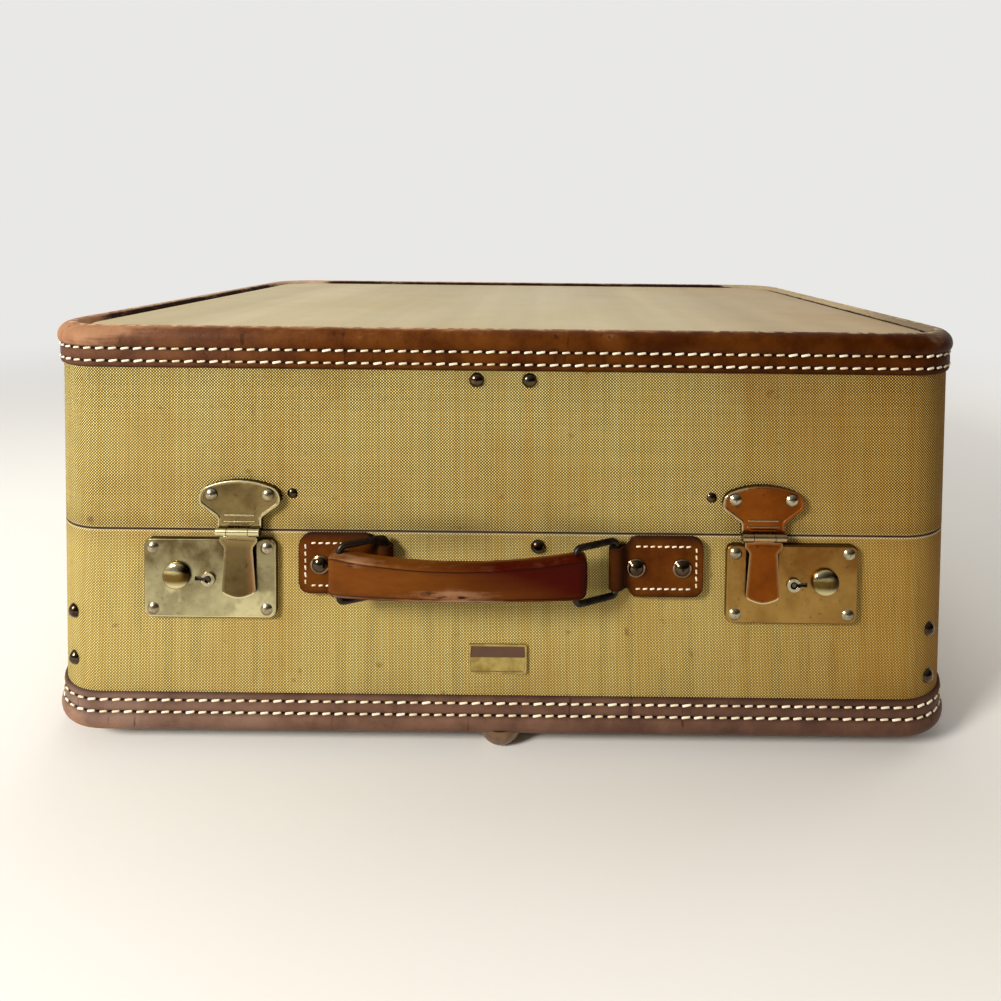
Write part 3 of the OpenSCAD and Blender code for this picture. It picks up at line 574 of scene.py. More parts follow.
def wear_roll(bm, z_edge, wear_share, dusty):
    """Marks where the leather is worn and dusty, and where shade is painted. The roll is worn on its crest,
    at the corners and along the sides, and painted shade darkens the groove beside the board, the creases
    along the stitches and the edge of the band."""
    worn, fold, dust = marks(bm.verts, "worn", "fold", "dust")
    corners = (((-1, -1), 1.0), ((1, -1), 0.28), ((-1, 1), 0.85), ((1, 1), 0.6))
    corner_in, corner_reach = 8 * mm, 62 * mm
    crest_reach, crest_line, side_reach = 8 * mm, 0.8 * mm, 6 * mm
    roll_foot, stitch_dip, edge_dip = 10.5 * mm, 1.5 * mm, 2 * mm
    groove = -roll_in - 0.78 * roll_r
    inner_side = -roll_in - 0.4 * roll_r
    for v in bm.verts:
        x, y, z = v.co
        depth = abs(z - z_edge)
        out = on_plan(v.co)[1]
        crest = 0.35 * fade(depth, crest_reach) + 0.75 * fade(depth, crest_line)
        near = 0
        for (sx, sy), share in corners:
            tip = Vector((sx * (half_w - corner_in), mid_y + sy * (half_d - corner_in)))
            near = max(near, share * fade((v.co.xy - tip).length, corner_reach))
        low = 1 if depth < roll_foot else 0.3
        on_side = (abs(x) > flat_x) * (out > -roll_in) * fade(depth, side_reach)
        on_side *= 1.2 if x < 0 else 0.8 * (y > mid_y - flat_y)
        on_side += 0.9 * (x > flat_x - roll_r) * (y > front_y + 3 * roll_r) * (groove < out < -roll_in)
        v[worn] = wear_share * ((0.8 if x < 0.1 else 0.5) * crest + 0.95 * near * low + on_side)
        v[dust] = dusty * (1 - 1.4 * x) + 0.4 * clamp((-x - 0.1) / 0.13)
        # Painted shade: the creases along the stitch rows and the band's edge, and the inner side of the
        # roll, less at the right end.
        seam = min(abs(depth - row) for row in stitch_rows)
        creased = 0.8 * fade(seam, stitch_dip) + 0.8 * fade(abs(depth - band_reach), edge_dip)
        shaded = 1.2 if x < flat_x or out < groove else 0.2
        v[fold] = min(1.2, creased + shaded * (out < inner_side))


def bound_edge(half, inward, wear_share, dusty):
    """The roll and band of one half. Inward is the way from the edge towards the seam."""
    name = half + "_binding_leather"
    z_edge = ends(half + "_binding", inward)[0]
    profile = arc(-roll_in, roll_r, roll_r, -1, range(172, -36, -13))
    profile += [(out * mm, depth * mm) for out, depth in (
        (1.2, 11.45), (1.1, 11.9), (1.5, 12.7), (1.72, 14.0), (1.76, 15.6), (1.62, 17.4), (1.3, 18.1),
        (1.3, 18.7), (1.6, 19.5), (1.5, 20.7), (1.1, 21.5), (0.5, 21.9), (-0.3, 22.0), (-0.6, 12.0),
        (-6.0, 9.0))]
    bm = bmesh.new()
    carry_round(bm, [(out, z_edge + inward * depth) for out, depth in profile])
    map_round(bm, "seam", stitch_pitch, lambda z, out: abs(z - z_edge) / mm)
    wear_roll(bm, z_edge, wear_share, dusty)
    fit(bm, name, binding, half, "binding_leather", half + "_binding", smooth=60)

    bm = bmesh.new()
    tone, = marks(bm.verts, "tone")
    for row, depth in enumerate(stitch_rows):
        for i in range(stitch_count):
            where, outward = plan_point((i + 0.06 * row) * stitch_pitch, band_out)
            where.z = z_edge + inward * depth
            odd = noise.noise(Vector((i * 0.83, row * 5.1, z_edge * 90)))
            stitch(bm, tone, where, outward.to_3d(), heading(outward).to_3d(), (4.4 + 0.7 * odd) * mm,
                   (1.15 + 0.2 * odd) * mm, 1.0 * mm, 7 + 5 * odd, 0.6 + 0.7 * odd)
    soften(bm, bm.edges[:], 0.36 * mm, 1)
    fit(bm, name + "_stitches", waxed_thread, half, "binding_leather", smooth=80)


bound_edge("lid", -1, 1.0, 0.0)
bound_edge("base", 1, 0.6, 0.7)


# Inner band and linings
# A thin board band lines the base and stands above the seam, where the lid shuts over it.
# Plain cotton is glued over the insides of both halves, with its edges turned in.

band_t = 3 * mm
cotton_t = 1.2 * mm
cotton_thread = 0.8 * mm
cotton = Finish("lining_cotton", Sheen_Weight=0.2, Specular_IOR_Level=0.2)
cloth = use_group(weave, stretched(cotton.place, *(1 / cotton_thread,) * 3))
colour = mixed(cloth["Tone"], dye(196, 182, 150), dye(226, 214, 186))
colour = colour.toward(between(clouds(cotton.place, 9, 6, 0.65), 0.5, 0.75, 0.0, 0.45), 178, 150, 104)
colour = colour.toward(between(cloth["Height"], 0.6, 0.1, 0.0, 0.4), 132, 116, 84)
cotton.paint(colour, between(cloth["Height"], 0.0, 1.0, 0.95, 0.8), cloth["Height"], 0.2 * mm, 0.7)

band_board = Finish("band_board", Specular_IOR_Level=0.3)
fibre = clouds(stretched(band_board.place, 40, 40, 420), 1.0, 6, 0.6)
colour = mixed(fibre, dye(150, 116, 74), dye(204, 170, 122))
colour = colour.toward(between(clouds(band_board.place, 60, 4), 0.55, 0.75, 0.0, 0.5), 110, 80, 48)
band_board.paint(colour, between(fibre, 0.2, 0.8, 0.6, 0.8), fibre, 0.1 * mm, 0.5)


def upright_band(bm, out, thick, z_root, z_edge):
    """A thin wall round the inside, with its free edge rounded."""
    inner = out - thick
    soft = 0.45 * thick
    up = 1 if z_edge > z_root else -1
    z_soft = z_edge - up * soft
    rows = 4
    profile = [(out, z_root + (z_soft - z_root) * i / rows) for i in range(rows + 1)]
    profile += arc(out - soft, z_soft, soft, up, (45, 90))
    profile += arc(inner + soft, z_soft, soft, up, (90, 135, 180))
    profile += [(inner, z_root)]
    carry_round(bm, profile, 10, 60 * mm)


def lining_floor(bm, inset, z, thick):
    """The cloth on the inside of a board, a little full in the middle."""
    plan_sheet(bm, inset, z, 10)
    face = [f for f in bm.faces if all(abs(v.co.z - z) < 1e-6 for v in f.verts) and len(f.verts) > 20]
    top = lift(bm, face, (0, 0, thick))
    for width, rise in ((3, 0.25), (8, 0.2), (9, 0.1)):
        step_in(bm, top, width * mm, rise * mm)


low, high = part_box("inner_band")
bm = bmesh.new()
upright_band(bm, high.x - half_w, band_t, low.z, high.z)
fit(bm, "inner_board_band", band_board, "base", "board", "inner_band")

for half, up in (("base", 1), ("lid", -1)):
    z_root, z_edge = ends(half + "_lining", up)
    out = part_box(half + "_lining")[1].x - half_w
    bm = bmesh.new()
    upright_band(bm, out, cotton_t, z_root, z_edge)
    lining_floor(bm, cotton_t / 2 - out, z_root, up * cotton_t)
    fit(bm, half + "_cotton", cotton, half, "lining", half + "_lining")


# Feet and studs
# Domed brass feet pressed into the roll under each edge, and turned studs on the hinge side to stand on.
# They are bare brass, with tarnish in patches.

tarnish, (place, size), t_out = new_group("Tarnish", {"Vector": "Vector", "Size": "Float"},
                                          ("Patches", "Specks", "Scratches"))
feed(t_out["Patches"], clouds(place, size, 6, 0.62))
feed(t_out["Specks"], between(clouds(place, size * 9.0, 5, 0.7), 0.58, 0.72))
feed(t_out["Scratches"], between(clouds(stretched(place, 260, 260, 2600), 1.0, 2), 0.52, 0.7))


def metal_finish(name, clean, dull, specks, rough, size=55.0, right=None, shade_above=None, lightened=None,
                 shade_tone=None, tongue=None):
    """Bare metal with tarnish in patches, dark specks and fine scratches. Its lighter edge tone is a painted
    highlight, with some real wear, on the marked edges, and its side tone is painted shade on the marked
    sides. Right has the clean, dull and edge tones of a fitting on the right, darker and redder: painted
    reflection and shade. A given height is the middle of a change from lighter metal below to darker above,
    painted reflection and shade, with bright patches of painted reflection low down. Tongue has the tones of
    the left tongue and of a painted warm reflection on its right flank."""
    metal = Finish(name, Metallic=1.0)
    age = use_group(tarnish, metal.place, Size=size)
    x, y, z = split(metal.place)
    aged = between(age["Patches"], 0.35, 0.68)
    # Painted shade above the given height, and lighter metal below it.
    if shade_above:
        upper = between(z, shade_above - 16 * mm, shade_above + 16 * mm)
        aged = aged * 0.5 + upper * 0.6
    colour = mixed(aged, dye(*clean), dye(*dull))
    edges = dye(*lightened) if lightened else None
    # Painted warm reflection on the right flank of the left tongue.
    if tongue:
        low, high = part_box("hasp_tongue_left")
        hung = between(z, seam_z - 3 * mm, seam_z - 9 * mm)
        flank = between(x, (low.x + high.x) / 2 + 3 * mm, high.x - 1 * mm)
        colour = mixed(hung * 0.5, colour, mixed(flank, dye(*tongue[0]), dye(*tongue[1])))
    # Darker, redder tones on the right: painted reflection and shade.
    if right:
        on_right = between(x, -0.05, 0.05)
        colour = mixed(on_right, colour, mixed(aged, dye(*right[0]), dye(*right[1])))
        edges = mixed(on_right, edges, dye(*right[2]))
    colour = colour.toward(age["Specks"] * 0.6, *specks)
    # Painted reflection: bright patches low down.
    if shade_above:
        reflected_patch = between(clouds(metal.place, 48, 3), 0.5, 0.62) * (1.0 - upper)
        colour = mixed(reflected_patch * 0.45, colour, edges)
    # Painted highlight, with some real wear, on the marked edges.
    if lightened:
        colour = mixed(metal.mark("bright") * 0.8, colour, edges)
    # Painted shade on the marked sides.
    if shade_tone:
        colour = colour.toward(metal.mark("wall") * 0.9, *shade_tone)
    uneven = age["Specks"] * 0.25 + between(age["Patches"], 0.3, 0.7, rough, rough + 0.14)
    metal.paint(colour, uneven, age["Patches"] * 0.6 + age["Scratches"] * -0.25, 0.08 * mm, 0.4)
    return metal


def refinish(finish, *nodes):
    """Gives CAD nodes that keep their shape their finish."""
    for name in nodes:
        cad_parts[name].data.materials.clear()
        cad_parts[name].data.materials.append(finish.material)


foot_brass = metal_finish("foot_brass", (150, 122, 96), (104, 82, 60), (54, 40, 28), 0.3)
refinish(foot_brass, "bottom_feet", "base_studs", "lid_studs")


# Rivets in the canvas
# Domed bronze rivets set through the walls: a pair on the lid, one behind the handle, two on each corner
# of the base and a small one beside each hasp.

bronze = metal_finish(
    "dark_bronze", (92, 78, 60), (50, 38, 28), (26, 18, 12), 0.1, 140.0, lightened=(166, 140, 108))
refinish(bronze, "corner_rivets", "front_rivet", "lid_rivets", "hasp_side_rivets")


# Hinges
# Two pressed brass hinges riveted on the back, with a heel on each lid leaf that stops the lid.
# Their edges are rounded from stamping and wear.

# Painted on the lock pans and hinge leaves: shade on the upper part and the sides, reflection in bright
# patches low down, darker redder tones on the right, and highlights on the edges.
lock_brass = metal_finish(
    "aged_brass", (178, 170, 130), (92, 79, 50), (74, 60, 34), 0.28, 52.0, shade_above=94 * mm,
    right=((168, 134, 72), (130, 88, 38), (158, 122, 62)), lightened=(236, 226, 176), shade_tone=(58, 40, 16))
nickel = metal_finish("rivet_nickel", (188, 176, 146), (134, 120, 90), (60, 50, 36), 0.18, 160.0)
steel = metal_finish("plain_steel", (92, 88, 82), (58, 54, 49), (48, 34, 24), 0.36, 60.0)


def node_copy(node):
    """A copy of a CAD node's solid, joined up."""
    bm = bmesh.new()
    bm.from_mesh(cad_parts[node].data)
    bmesh.ops.remove_doubles(bm, verts=bm.verts, dist=2e-6)
    return bm


def stamped_copy(node, edge, rim, facing=-1, dish=0):
    """A copy of a CAD node's solid with its sharp edges rounded: by rim round the face that shows, which may
    be dished, and by edge elsewhere. The rounded edges are marked for a painted highlight, and the sides for
    painted shade."""
    bm = node_copy(node)
    bmesh.ops.dissolve_limit(bm, angle_limit=radians(0.6), verts=bm.verts, edges=bm.edges, delimit=set())
    bright, wall = marks(bm.faces, "bright", "wall")
    # Side faces are marked for painted shade.
    for f in bm.faces:
        f[wall] = abs(f.normal.y) < 0.3
    if dish:
        shown = [f for f in bm.faces if f.normal.y * facing > 0.99]
        level = max(f.calc_center_median().y * facing for f in shown if f.calc_area() > 20 * mm * mm)
        shown = [f for f in shown if abs(f.calc_center_median().y * facing - level) < 0.05 * mm]
        # The flat rim of a dished face and its slope are marked for a painted highlight.
        for width, depth, highlight_share in ((0.9, 0, 0.4), (0.6, -dish, 0.15)):
            for f in step_in(bm, shown, width * mm, depth):
                f[bright] = highlight_share
    sharp = [e for e in bm.edges if len(e.link_faces) == 2 and e.calc_face_angle() > radians(32)]
    fronts = {e for e in sharp if any(f.normal.y * facing > 0.99 for f in e.link_faces)
              and any(abs(f.normal.y) < 0.3 for f in e.link_faces)}
    outer = []
    while fronts:
        chain = [fronts.pop()]
        for e in chain:
            linked = [n for v in e.verts for n in v.link_edges if n in fronts]
            fronts.difference_update(linked)
            chain += linked
        outer = max(outer, chain, key=lambda c: sum(e.calc_length() for e in c))
    for edges, width in ((outer, rim), ([e for e in sharp if e not in set(outer)], edge)):
        rounded = soften(bm, [e for e in edges if e.is_valid], width, 3, clamp_overlap=True)
        for f in rounded["faces"]:
            f[bright], f[wall] = 1, 0
    bm.normal_update()
    return bm


def fit_stamped(bm, *how):
    """Fits a stamped piece with its flats shaded flat."""
    even = fit(bm, *how).modifiers.new("flat_faces", "WEIGHTED_NORMAL")
    even.keep_sharp = True


for side in ("left", "right"):
    for half in ("base", "lid"):
        node = half + "_hinge_" + side
        fit_stamped(stamped_copy(node, 0.25 * mm, 0.4 * mm, 1), half + "_leaf_" + side, lock_brass, half,
                    "lock_brass", node)
refinish(steel, "hinge_pins")
refinish(nickel, "base_hinge_rivets", "lid_hinge_rivets")


# Locks
# A pressed brass pan riveted over a steel back plate, with a round keyhole boss and a slide with its leaf
# spring between them. The brass knob on the slide is turned and domed, with painted highlights above and
# below and painted shade on its right.

knob_brass = metal_finish(
    "knob_brass", (104, 84, 40), (76, 58, 24), (60, 44, 22), 0.1, 90.0,
    lightened=(244, 230, 176), shade_tone=(40, 26, 8))
boss_r = 3.1 * mm


def turned_knob(node):
    """The knob and its stem, turned round the middle of the CAD node's box."""
    low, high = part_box(node)
    centre = Vector(((low.x + high.x) / 2, front_y, (low.z + high.z) / 2))
    rim_r = (high.x - low.x) / 2
    stem_r, foot, soft = 2.4 * mm, -3.3 * mm, 0.3 * mm
    back = high.y - front_y
    shoulder = foot - 0.9 * mm
    rise = shoulder - (low.y - front_y)
    profile = [(0, back), (stem_r, back), (stem_r, foot), (rim_r - soft, foot), (rim_r, foot - soft)]
    profile += [(rim_r * cos(radians(t)), shoulder - rise * sin(radians(t))) for t in range(0, 90, 9)]
    profile += [(0, shoulder - rise)]
    bm = bmesh.new()
    line = outline(bm, [centre + Vector((r, y, 0)) for r, y in profile], closed=False)
    bmesh.ops.spin(bm, geom=line, cent=centre, axis=(0, 1, 0), dvec=(0, 0, 0), angle=2 * pi, steps=40,
                   use_merge=True)
    close_up(bm)
    bright, wall = marks(bm.verts, "bright", "wall")
    # Painted highlights on the upper left and the bottom, and painted shade on the right.
    for v in bm.verts:
        aside, up = (v.co.x - centre.x) / rim_r, (v.co.z - centre.z) / rim_r
        v[bright] = max(clamp(2.5 * up - 0.5) * clamp(1.4 - 2 * aside), clamp(-2.5 * up - 0.7))
        v[wall] = clamp(3 * aside - 1.2) * clamp(2 * up + 1)
    return bm


for side in ("left", "right"):
    pan = stamped_copy("lock_plate_" + side, 0.2 * mm, 0.9 * mm)
    bright, wall = (pan.faces.layers.float[name] for name in ("bright", "wall"))
    # On the left pan the lower and right rounded edges keep a painted highlight; the other rounded edges lose
    # it, and those on the top, and on the right of the right pan, get painted shade.
    for f in pan.faces:
        if f[bright]:
            lit = side == "left" and (f.normal.z < -0.2 or f.normal.x > 0.3)
            f[bright], f[wall] = (1, 0) if lit else (0, 0.5 * (f.normal.z > 0.2 or f.normal.x > 0.3))
    fit_stamped(pan, "lock_pan_" + side, lock_brass, "base", "lock_brass", "lock_plate_" + side)

    boss = stamped_copy("key_barrel_" + side, 0.25 * mm, 0.3 * mm)
    low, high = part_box("key_barrel_" + side)
    middle = (low + high) / 2
    for v in boss.verts:
        from_axis = Vector((v.co.x - middle.x, 0, v.co.z - middle.z))
        if from_axis.length < boss_r:
            v.co -= 0.3 * from_axis
    fit_stamped(boss, "key_boss_" + side, nickel, "base", "knob_brass", "key_barrel_" + side)
    fit(turned_knob("slide_knob_" + side), "catch_knob_" + side, knob_brass, "catch_" + side, "knob_brass",
        "slide_knob_" + side)
    refinish(steel, "lock_back_" + side, "lock_slide_" + side)

    leaf = fit(stamped_copy("lock_spring_" + side, 0.1 * mm, 0.1 * mm), "catch_spring_" + side, steel, "base",
               "inner_steel", "lock_spring_" + side)
    low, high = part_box("lock_spring_" + side)
    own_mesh(leaf)
refinish(nickel, "lock_rivets")


# Hasps
# A hat-shaped brass plate riveted to the lid carries a tongue on a steel pin at the seam.
# The tongue hangs over the lock plate, and its staple drops behind the slide.

# Painted on the hasps: highlights on the edges and knuckles, shade on the sides, darker redder tones on the
# right, and a warm reflection on the left tongue's right flank.
hasp_brass = metal_finish(
    "hasp_brass", (124, 106, 68), (82, 66, 38), (64, 50, 28), 0.22, 30.0,
    right=((138, 75, 22), (116, 58, 15), (236, 218, 164)), lightened=(240, 228, 176),
    shade_tone=(50, 30, 12), tongue=((62, 48, 24), (146, 96, 66)))
hasp_axis = seam_z + 0.8 * mm
knuckle_r = 2.15 * mm
# Painted highlight on the knuckles, on each side.
knuckle_highlight = {"left": 0.8, "right": 0.5}
knuckle_top = 5 * mm
knuckle_half = 10.6 * mm
bar_out = 3.0 * mm
bar_deep = 0.7 * mm
tongue_foot = 3.5 * mm
# The pressed bars above the knuckle: height over the seam, half width, thickness, painted highlight and
# painted shade. The lowest bar is a dark slot of painted shade.
bars = ((9.0, 8.0, 1.0, 0.45, 0), (5.6, 8.6, 0.8, 0.45, 0), (4.0, 5.6, 1.3, 0, 1))


def on_knuckle(f):
    return abs(f.calc_center_median().z - hasp_axis) < knuckle_r and abs(f.normal.x) < 0.1


for side in ("left", "right"):
    hat = stamped_copy("hasp_plate_" + side, 0.25 * mm, 0.7 * mm, dish=0.45 * mm)
    low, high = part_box("hasp_plate_" + side)
    mid_x = (low.x + high.x) / 2
    bright, wall = (hat.faces.layers.float[name] for name in ("bright", "wall"))
    # Painted highlights: on the knuckles, on the rim only towards the left of the right hat, and weaker on
    # the right-facing faces of the left hat.
    for f in hat.faces:
        spot = f.calc_center_median()
        aside = spot.x - mid_x
        if spot.z < seam_z + knuckle_top and abs(aside) < knuckle_half:
            f[bright] = knuckle_highlight[side] * on_knuckle(f)
        elif side == "right":
            f[bright] *= clamp((-aside - 3 * mm) / (9 * mm), 0.1)
        elif f.normal.x > 0.6:
            f[bright] *= 0.2
    for height, wide, thick, highlight_share, dark in bars:
        ridge = Matrix.Translation((mid_x, front_y - bar_out, seam_z + height * mm))
        ridge @= Matrix.Diagonal((2 * wide * mm, bar_deep, thick * mm, 1))
        bar = bmesh.ops.create_cube(hat, size=1, matrix=ridge)["verts"]
        for f in {f for v in bar for f in v.link_faces}:
            f[bright], f[wall] = highlight_share, dark
        soften(hat, list({e for v in bar for e in v.link_edges}), 0.3 * mm, 2)
    fit_stamped(hat, "hasp_hat_" + side, hasp_brass, "lid", "lock_brass", "hasp_plate_" + side)

    strip = stamped_copy("hasp_tongue_" + side, 0.2 * mm, 0.6 * mm, dish=0.12 * mm)
    low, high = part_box("hasp_tongue_" + side)
    bright = strip.faces.layers.float["bright"]
    # Painted highlights on the knuckle and along the bottom edge; elsewhere the edge highlight is weaker.
    for f in strip.faces:
        foot = f[bright] > 0.3 and f.calc_center_median().z < low.z + tongue_foot
        f[bright] = max(knuckle_highlight[side] * on_knuckle(f), 0.9 if foot else 0.4 * f[bright])
    fit_stamped(strip, "hasp_strip_" + side, hasp_brass, "hasp_" + side, "lock_brass", "hasp_tongue_" + side)
refinish(steel, "hasp_pins")
refinish(nickel, "hasp_rivets")


# Handle tabs
# Each tab is one leather strap folded round a ring and laid back on itself, stitched along its edges
# and riveted through the wall twice.

strap_t = 1.9 * mm
fold_x = 61 * mm
fold_out = 3.85 * mm
tab_len = 46.5 * mm
tab_half = 16 * mm
tab_end_r = 6 * mm
neck_len = 6 * mm
neck_half = 11.25 * mm
rivet_at = (10.5 * mm, 35 * mm)
rivet_head_r = 4.15 * mm
handle_z = seam_z - 16.5 * mm

tab_leather = Finish("tab_leather", Specular_IOR_Level=0.03)
hide = use_group(grain, tab_leather.place, Size=800.0)
colour = mixed(between(hide["Mottle"], 0.3, 0.7), dye(66, 27, 3), dye(98, 52, 9))
colour = colour.toward(tab_leather.mark("edge") * 0.8, 42, 24, 14)
# Painted shade: the strap darkens towards its fold.
fold_shade = between(abs(split(tab_leather.place)[0]), fold_x + rivet_at[0], fold_x + rivet_at[0] / 2, 0.0, 0.75)
colour = colour.toward(fold_shade, 40, 16, 3)
colour = colour.toward(use_group(scuff, tab_leather.place, Where=0.12)["Mask"] * 0.7, 140, 92, 50)
tab_leather.paint(colour, between(hide["Mottle"], 0.3, 0.7, 0.34, 0.52), hide["Height"], 0.12 * mm, 0.7)


def half_height(x):
    """Half the strap's height at a distance from the fold: narrow at the fold, rounded at the end."""
    shoulder = clamp((x - neck_len) / (3.5 * mm))
    half = neck_half + (tab_half - neck_half) * shoulder * shoulder * (3 - 2 * shoulder)
    past = max(0, x - (tab_len - tab_end_r))
    return half - tab_end_r + sqrt(max(0, tab_end_r * tab_end_r - past * past))


def handle_tab(side, sign):
    loop_r = fold_out - strap_t / 2
    drop = loop_r + fold_out - 1.5 * strap_t
    bend = radians(65)
    bend_r = drop / (2 * (1 - cos(bend)))
    bend_x = 2 * bend_r * sin(bend)
    rows = 12
    bm = bmesh.new()
    line = outline(bm, [(tab_len, -strap_t / 2, i / rows - 0.5) for i in range(rows + 1)], closed=False)
    line = sweep(bm, line, 8, step=(-tab_end_r / 8, 0, 0))
    line = sweep(bm, line, 14, step=((tab_end_r - tab_len) / 14, 0, 0))
    line = sweep(bm, line, 12, centre=(0, -fold_out, 0), angle=pi)
    line = sweep(bm, line, 6, centre=(0, bend_r - fold_out - loop_r, 0), angle=bend)
    line = sweep(bm, line, 6, centre=(bend_x, -bend_r - 1.5 * strap_t, 0), angle=-bend)
    line = sweep(bm, line, 9, step=((tab_len - tab_end_r - bend_x) / 9, 0, 0))
    sweep(bm, line, 8, step=(tab_end_r / 8, 0, 0))
    edge, = marks(bm.verts, "edge")
    for v in bm.verts:
        rim_near = max(abs(v.co.z) * 2, (v.co.x - tab_len + 3 * mm) / (3 * mm))
        v[edge] = max(0, (rim_near - 0.82) / 0.18)
        v.co.z = handle_z + 2 * v.co.z * half_height(v.co.x)
        v.co.x = sign * (fold_x + v.co.x)
        v.co.y += front_y - 0.05 * mm
    strap = fit(bm, "handle_strap_" + side, tab_leather, "base", "tab_leather", "handle_tab_" + side,
                smooth=45)
    thick = strap.modifiers.new("thickness", "SOLIDIFY")
    thick.thickness = 0.95 * strap_t
    thick.offset = 0
    soft = strap.modifiers.new("soft_edges", "BEVEL")
    soft.width = 0.45 * mm
    soft.segments = 2
    soft.angle_limit = radians(55)

    bm = bmesh.new()
    tone, = marks(bm.verts, "tone")
    pitch, first_x = 3.8 * mm, 11.8 * mm
    long_row, end_row = tab_half - 4.6 * mm, tab_len - 3.8 * mm
    places = [(first_x + i * pitch, z, (1, 0, 0)) for z in (-long_row, long_row) for i in range(8)]
    places += [(end_row, (i - 2.5) * pitch, (0, 0, 1)) for i in range(6)]
    for i, (x, z, way) in enumerate(places):
        odd = noise.noise(Vector((i * 1.7, sign * 3.3, 0.5)))
        where = Vector((sign * (fold_x + x), front_y - 2 * strap_t, handle_z + z))
        stitch(bm, tone, where, Vector((0, -1, 0)), Vector(way), (2.4 + 0.3 * odd) * mm, 0.9 * mm, 0.8 * mm,
               8 + 6 * odd, 0.65 + 0.6 * odd)
    soften(bm, bm.edges[:], 0.25 * mm, 1)
    fit(bm, "handle_strap_stitches_" + side, waxed_thread, "base", "tab_leather", smooth=80)


handle_tab("left", -1)
handle_tab("right", 1)

bm = node_copy("tab_rivets")
bright, = marks(bm.faces, "bright")
for f in bm.faces:
    spot = f.calc_center_median()
    from_axis = min(hypot(abs(spot.x) - fold_x - a, spot.z - handle_z) for a in rivet_at)
    f[bright] = from_axis > rivet_head_r
fit(bm, "tab_rivet_caps", bronze, "base", "rivet_bronze", "tab_rivets")


# Handle rings
# Two rings bent from round wire and blackened. Each turns in the fold of its tab and in the end of the grip.

black_wire = metal_finish("blackened_wire", (64, 56, 48), (34, 29, 25), (92, 62, 38), 0.34, 120.0)
refinish(black_wire, "handle_ring_left", "handle_ring_right")


# Grip
# Moulded leather over a steel strip, bowed outwards, narrower in the middle and polished by the hand.
# A line is creased along each long edge, and the face between the lines is a little hollow.

grip_low, grip_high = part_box("handle_grip")
grip_x = (grip_low.x + grip_high.x) / 2
grip_half_len = (grip_high.x - grip_low.x) / 2
grip_mid = 9.0 * mm
grip_end = 11.8 * mm
waist_r = (grip_half_len ** 2 + (grip_end - grip_mid) ** 2) / (2 * (grip_end - grip_mid))
pin_y = front_y - 14.371 * mm
bow = 7 * mm
bow_r = (fold_x ** 2 + bow ** 2) / (2 * bow)
end_soft = 5 * mm
crease_in = 1.6 * mm
patch_reach = 46 * mm
highlight_x = -52 * mm
highlight_reach = 22 * mm

grip_leather = Finish("grip_leather", Specular_IOR_Level=0.04)
place = grip_leather.place
lightened = grip_leather.mark("lightened")
hide = use_group(grain, place, Size=620.0)
smooth_tone = clouds(stretched(place, 14, 30, 60), 1.0, 5, 0.6)
colour = mixed(between(smooth_tone, 0.3, 0.7), dye(84, 42, 8), dye(110, 61, 16))
# Painted shade: the front darkens towards the right end and the upper edge.
colour = colour.toward(grip_leather.mark("grip_right_shade"), 62, 7, 0)
colour = colour.toward(grip_leather.mark("line") * 0.9, 30, 12, 6)
# Pale marks: wear along the edges and low in the middle, and a painted highlight on the upper left of the
# front.
wear_and_highlight = use_group(scuff, place, Where=lightened)["Mask"]
colour = colour.toward(wear_and_highlight * 0.75, 150, 110, 80)
scored = between(clouds(stretched(place, 70, 160, 420), 1.0, 4), 0.55, 0.63)
colour = colour.toward(scored * between(lightened, 0.3, 0.55), 34, 20, 12)
rough = wear_and_highlight * 0.2 + between(smooth_tone, 0.3, 0.7, 0.18, 0.3)
grip_leather.paint(colour, rough, hide["Height"], 0.04 * mm, 0.4)

# A quarter of the outline in the middle of the grip, from the face to the crest, in millimetres: the
# first is along y, the second down from the long edge.
edge_points = ((-4.65, 5.6), (-4.85, 3.6), (-5.1, 2.2), (-4.7, 1.6), (-5.35, 1.1), (-5.4, 0.65), (-4.8, 0.15),
               (-3.6, 0.0))
upper = [(y * mm, grip_mid - e * mm) for y, e in edge_points]
crest_z = grip_mid + 0.15 * mm
section = [(-4.6 * mm, 0.0)] + upper + [(-1.2 * mm, crest_z), (1.2 * mm, crest_z)]
section += [(-y, z) for y, z in reversed(upper)] + [(4.6 * mm, 0.0)]
section += [(y, -z) for y, z in reversed(section[1:-1])]


def close_end(bm, line):
    bmesh.ops.edgeloop_fill(bm, edges=[g for g in line if isinstance(g, bmesh.types.BMEdge)])


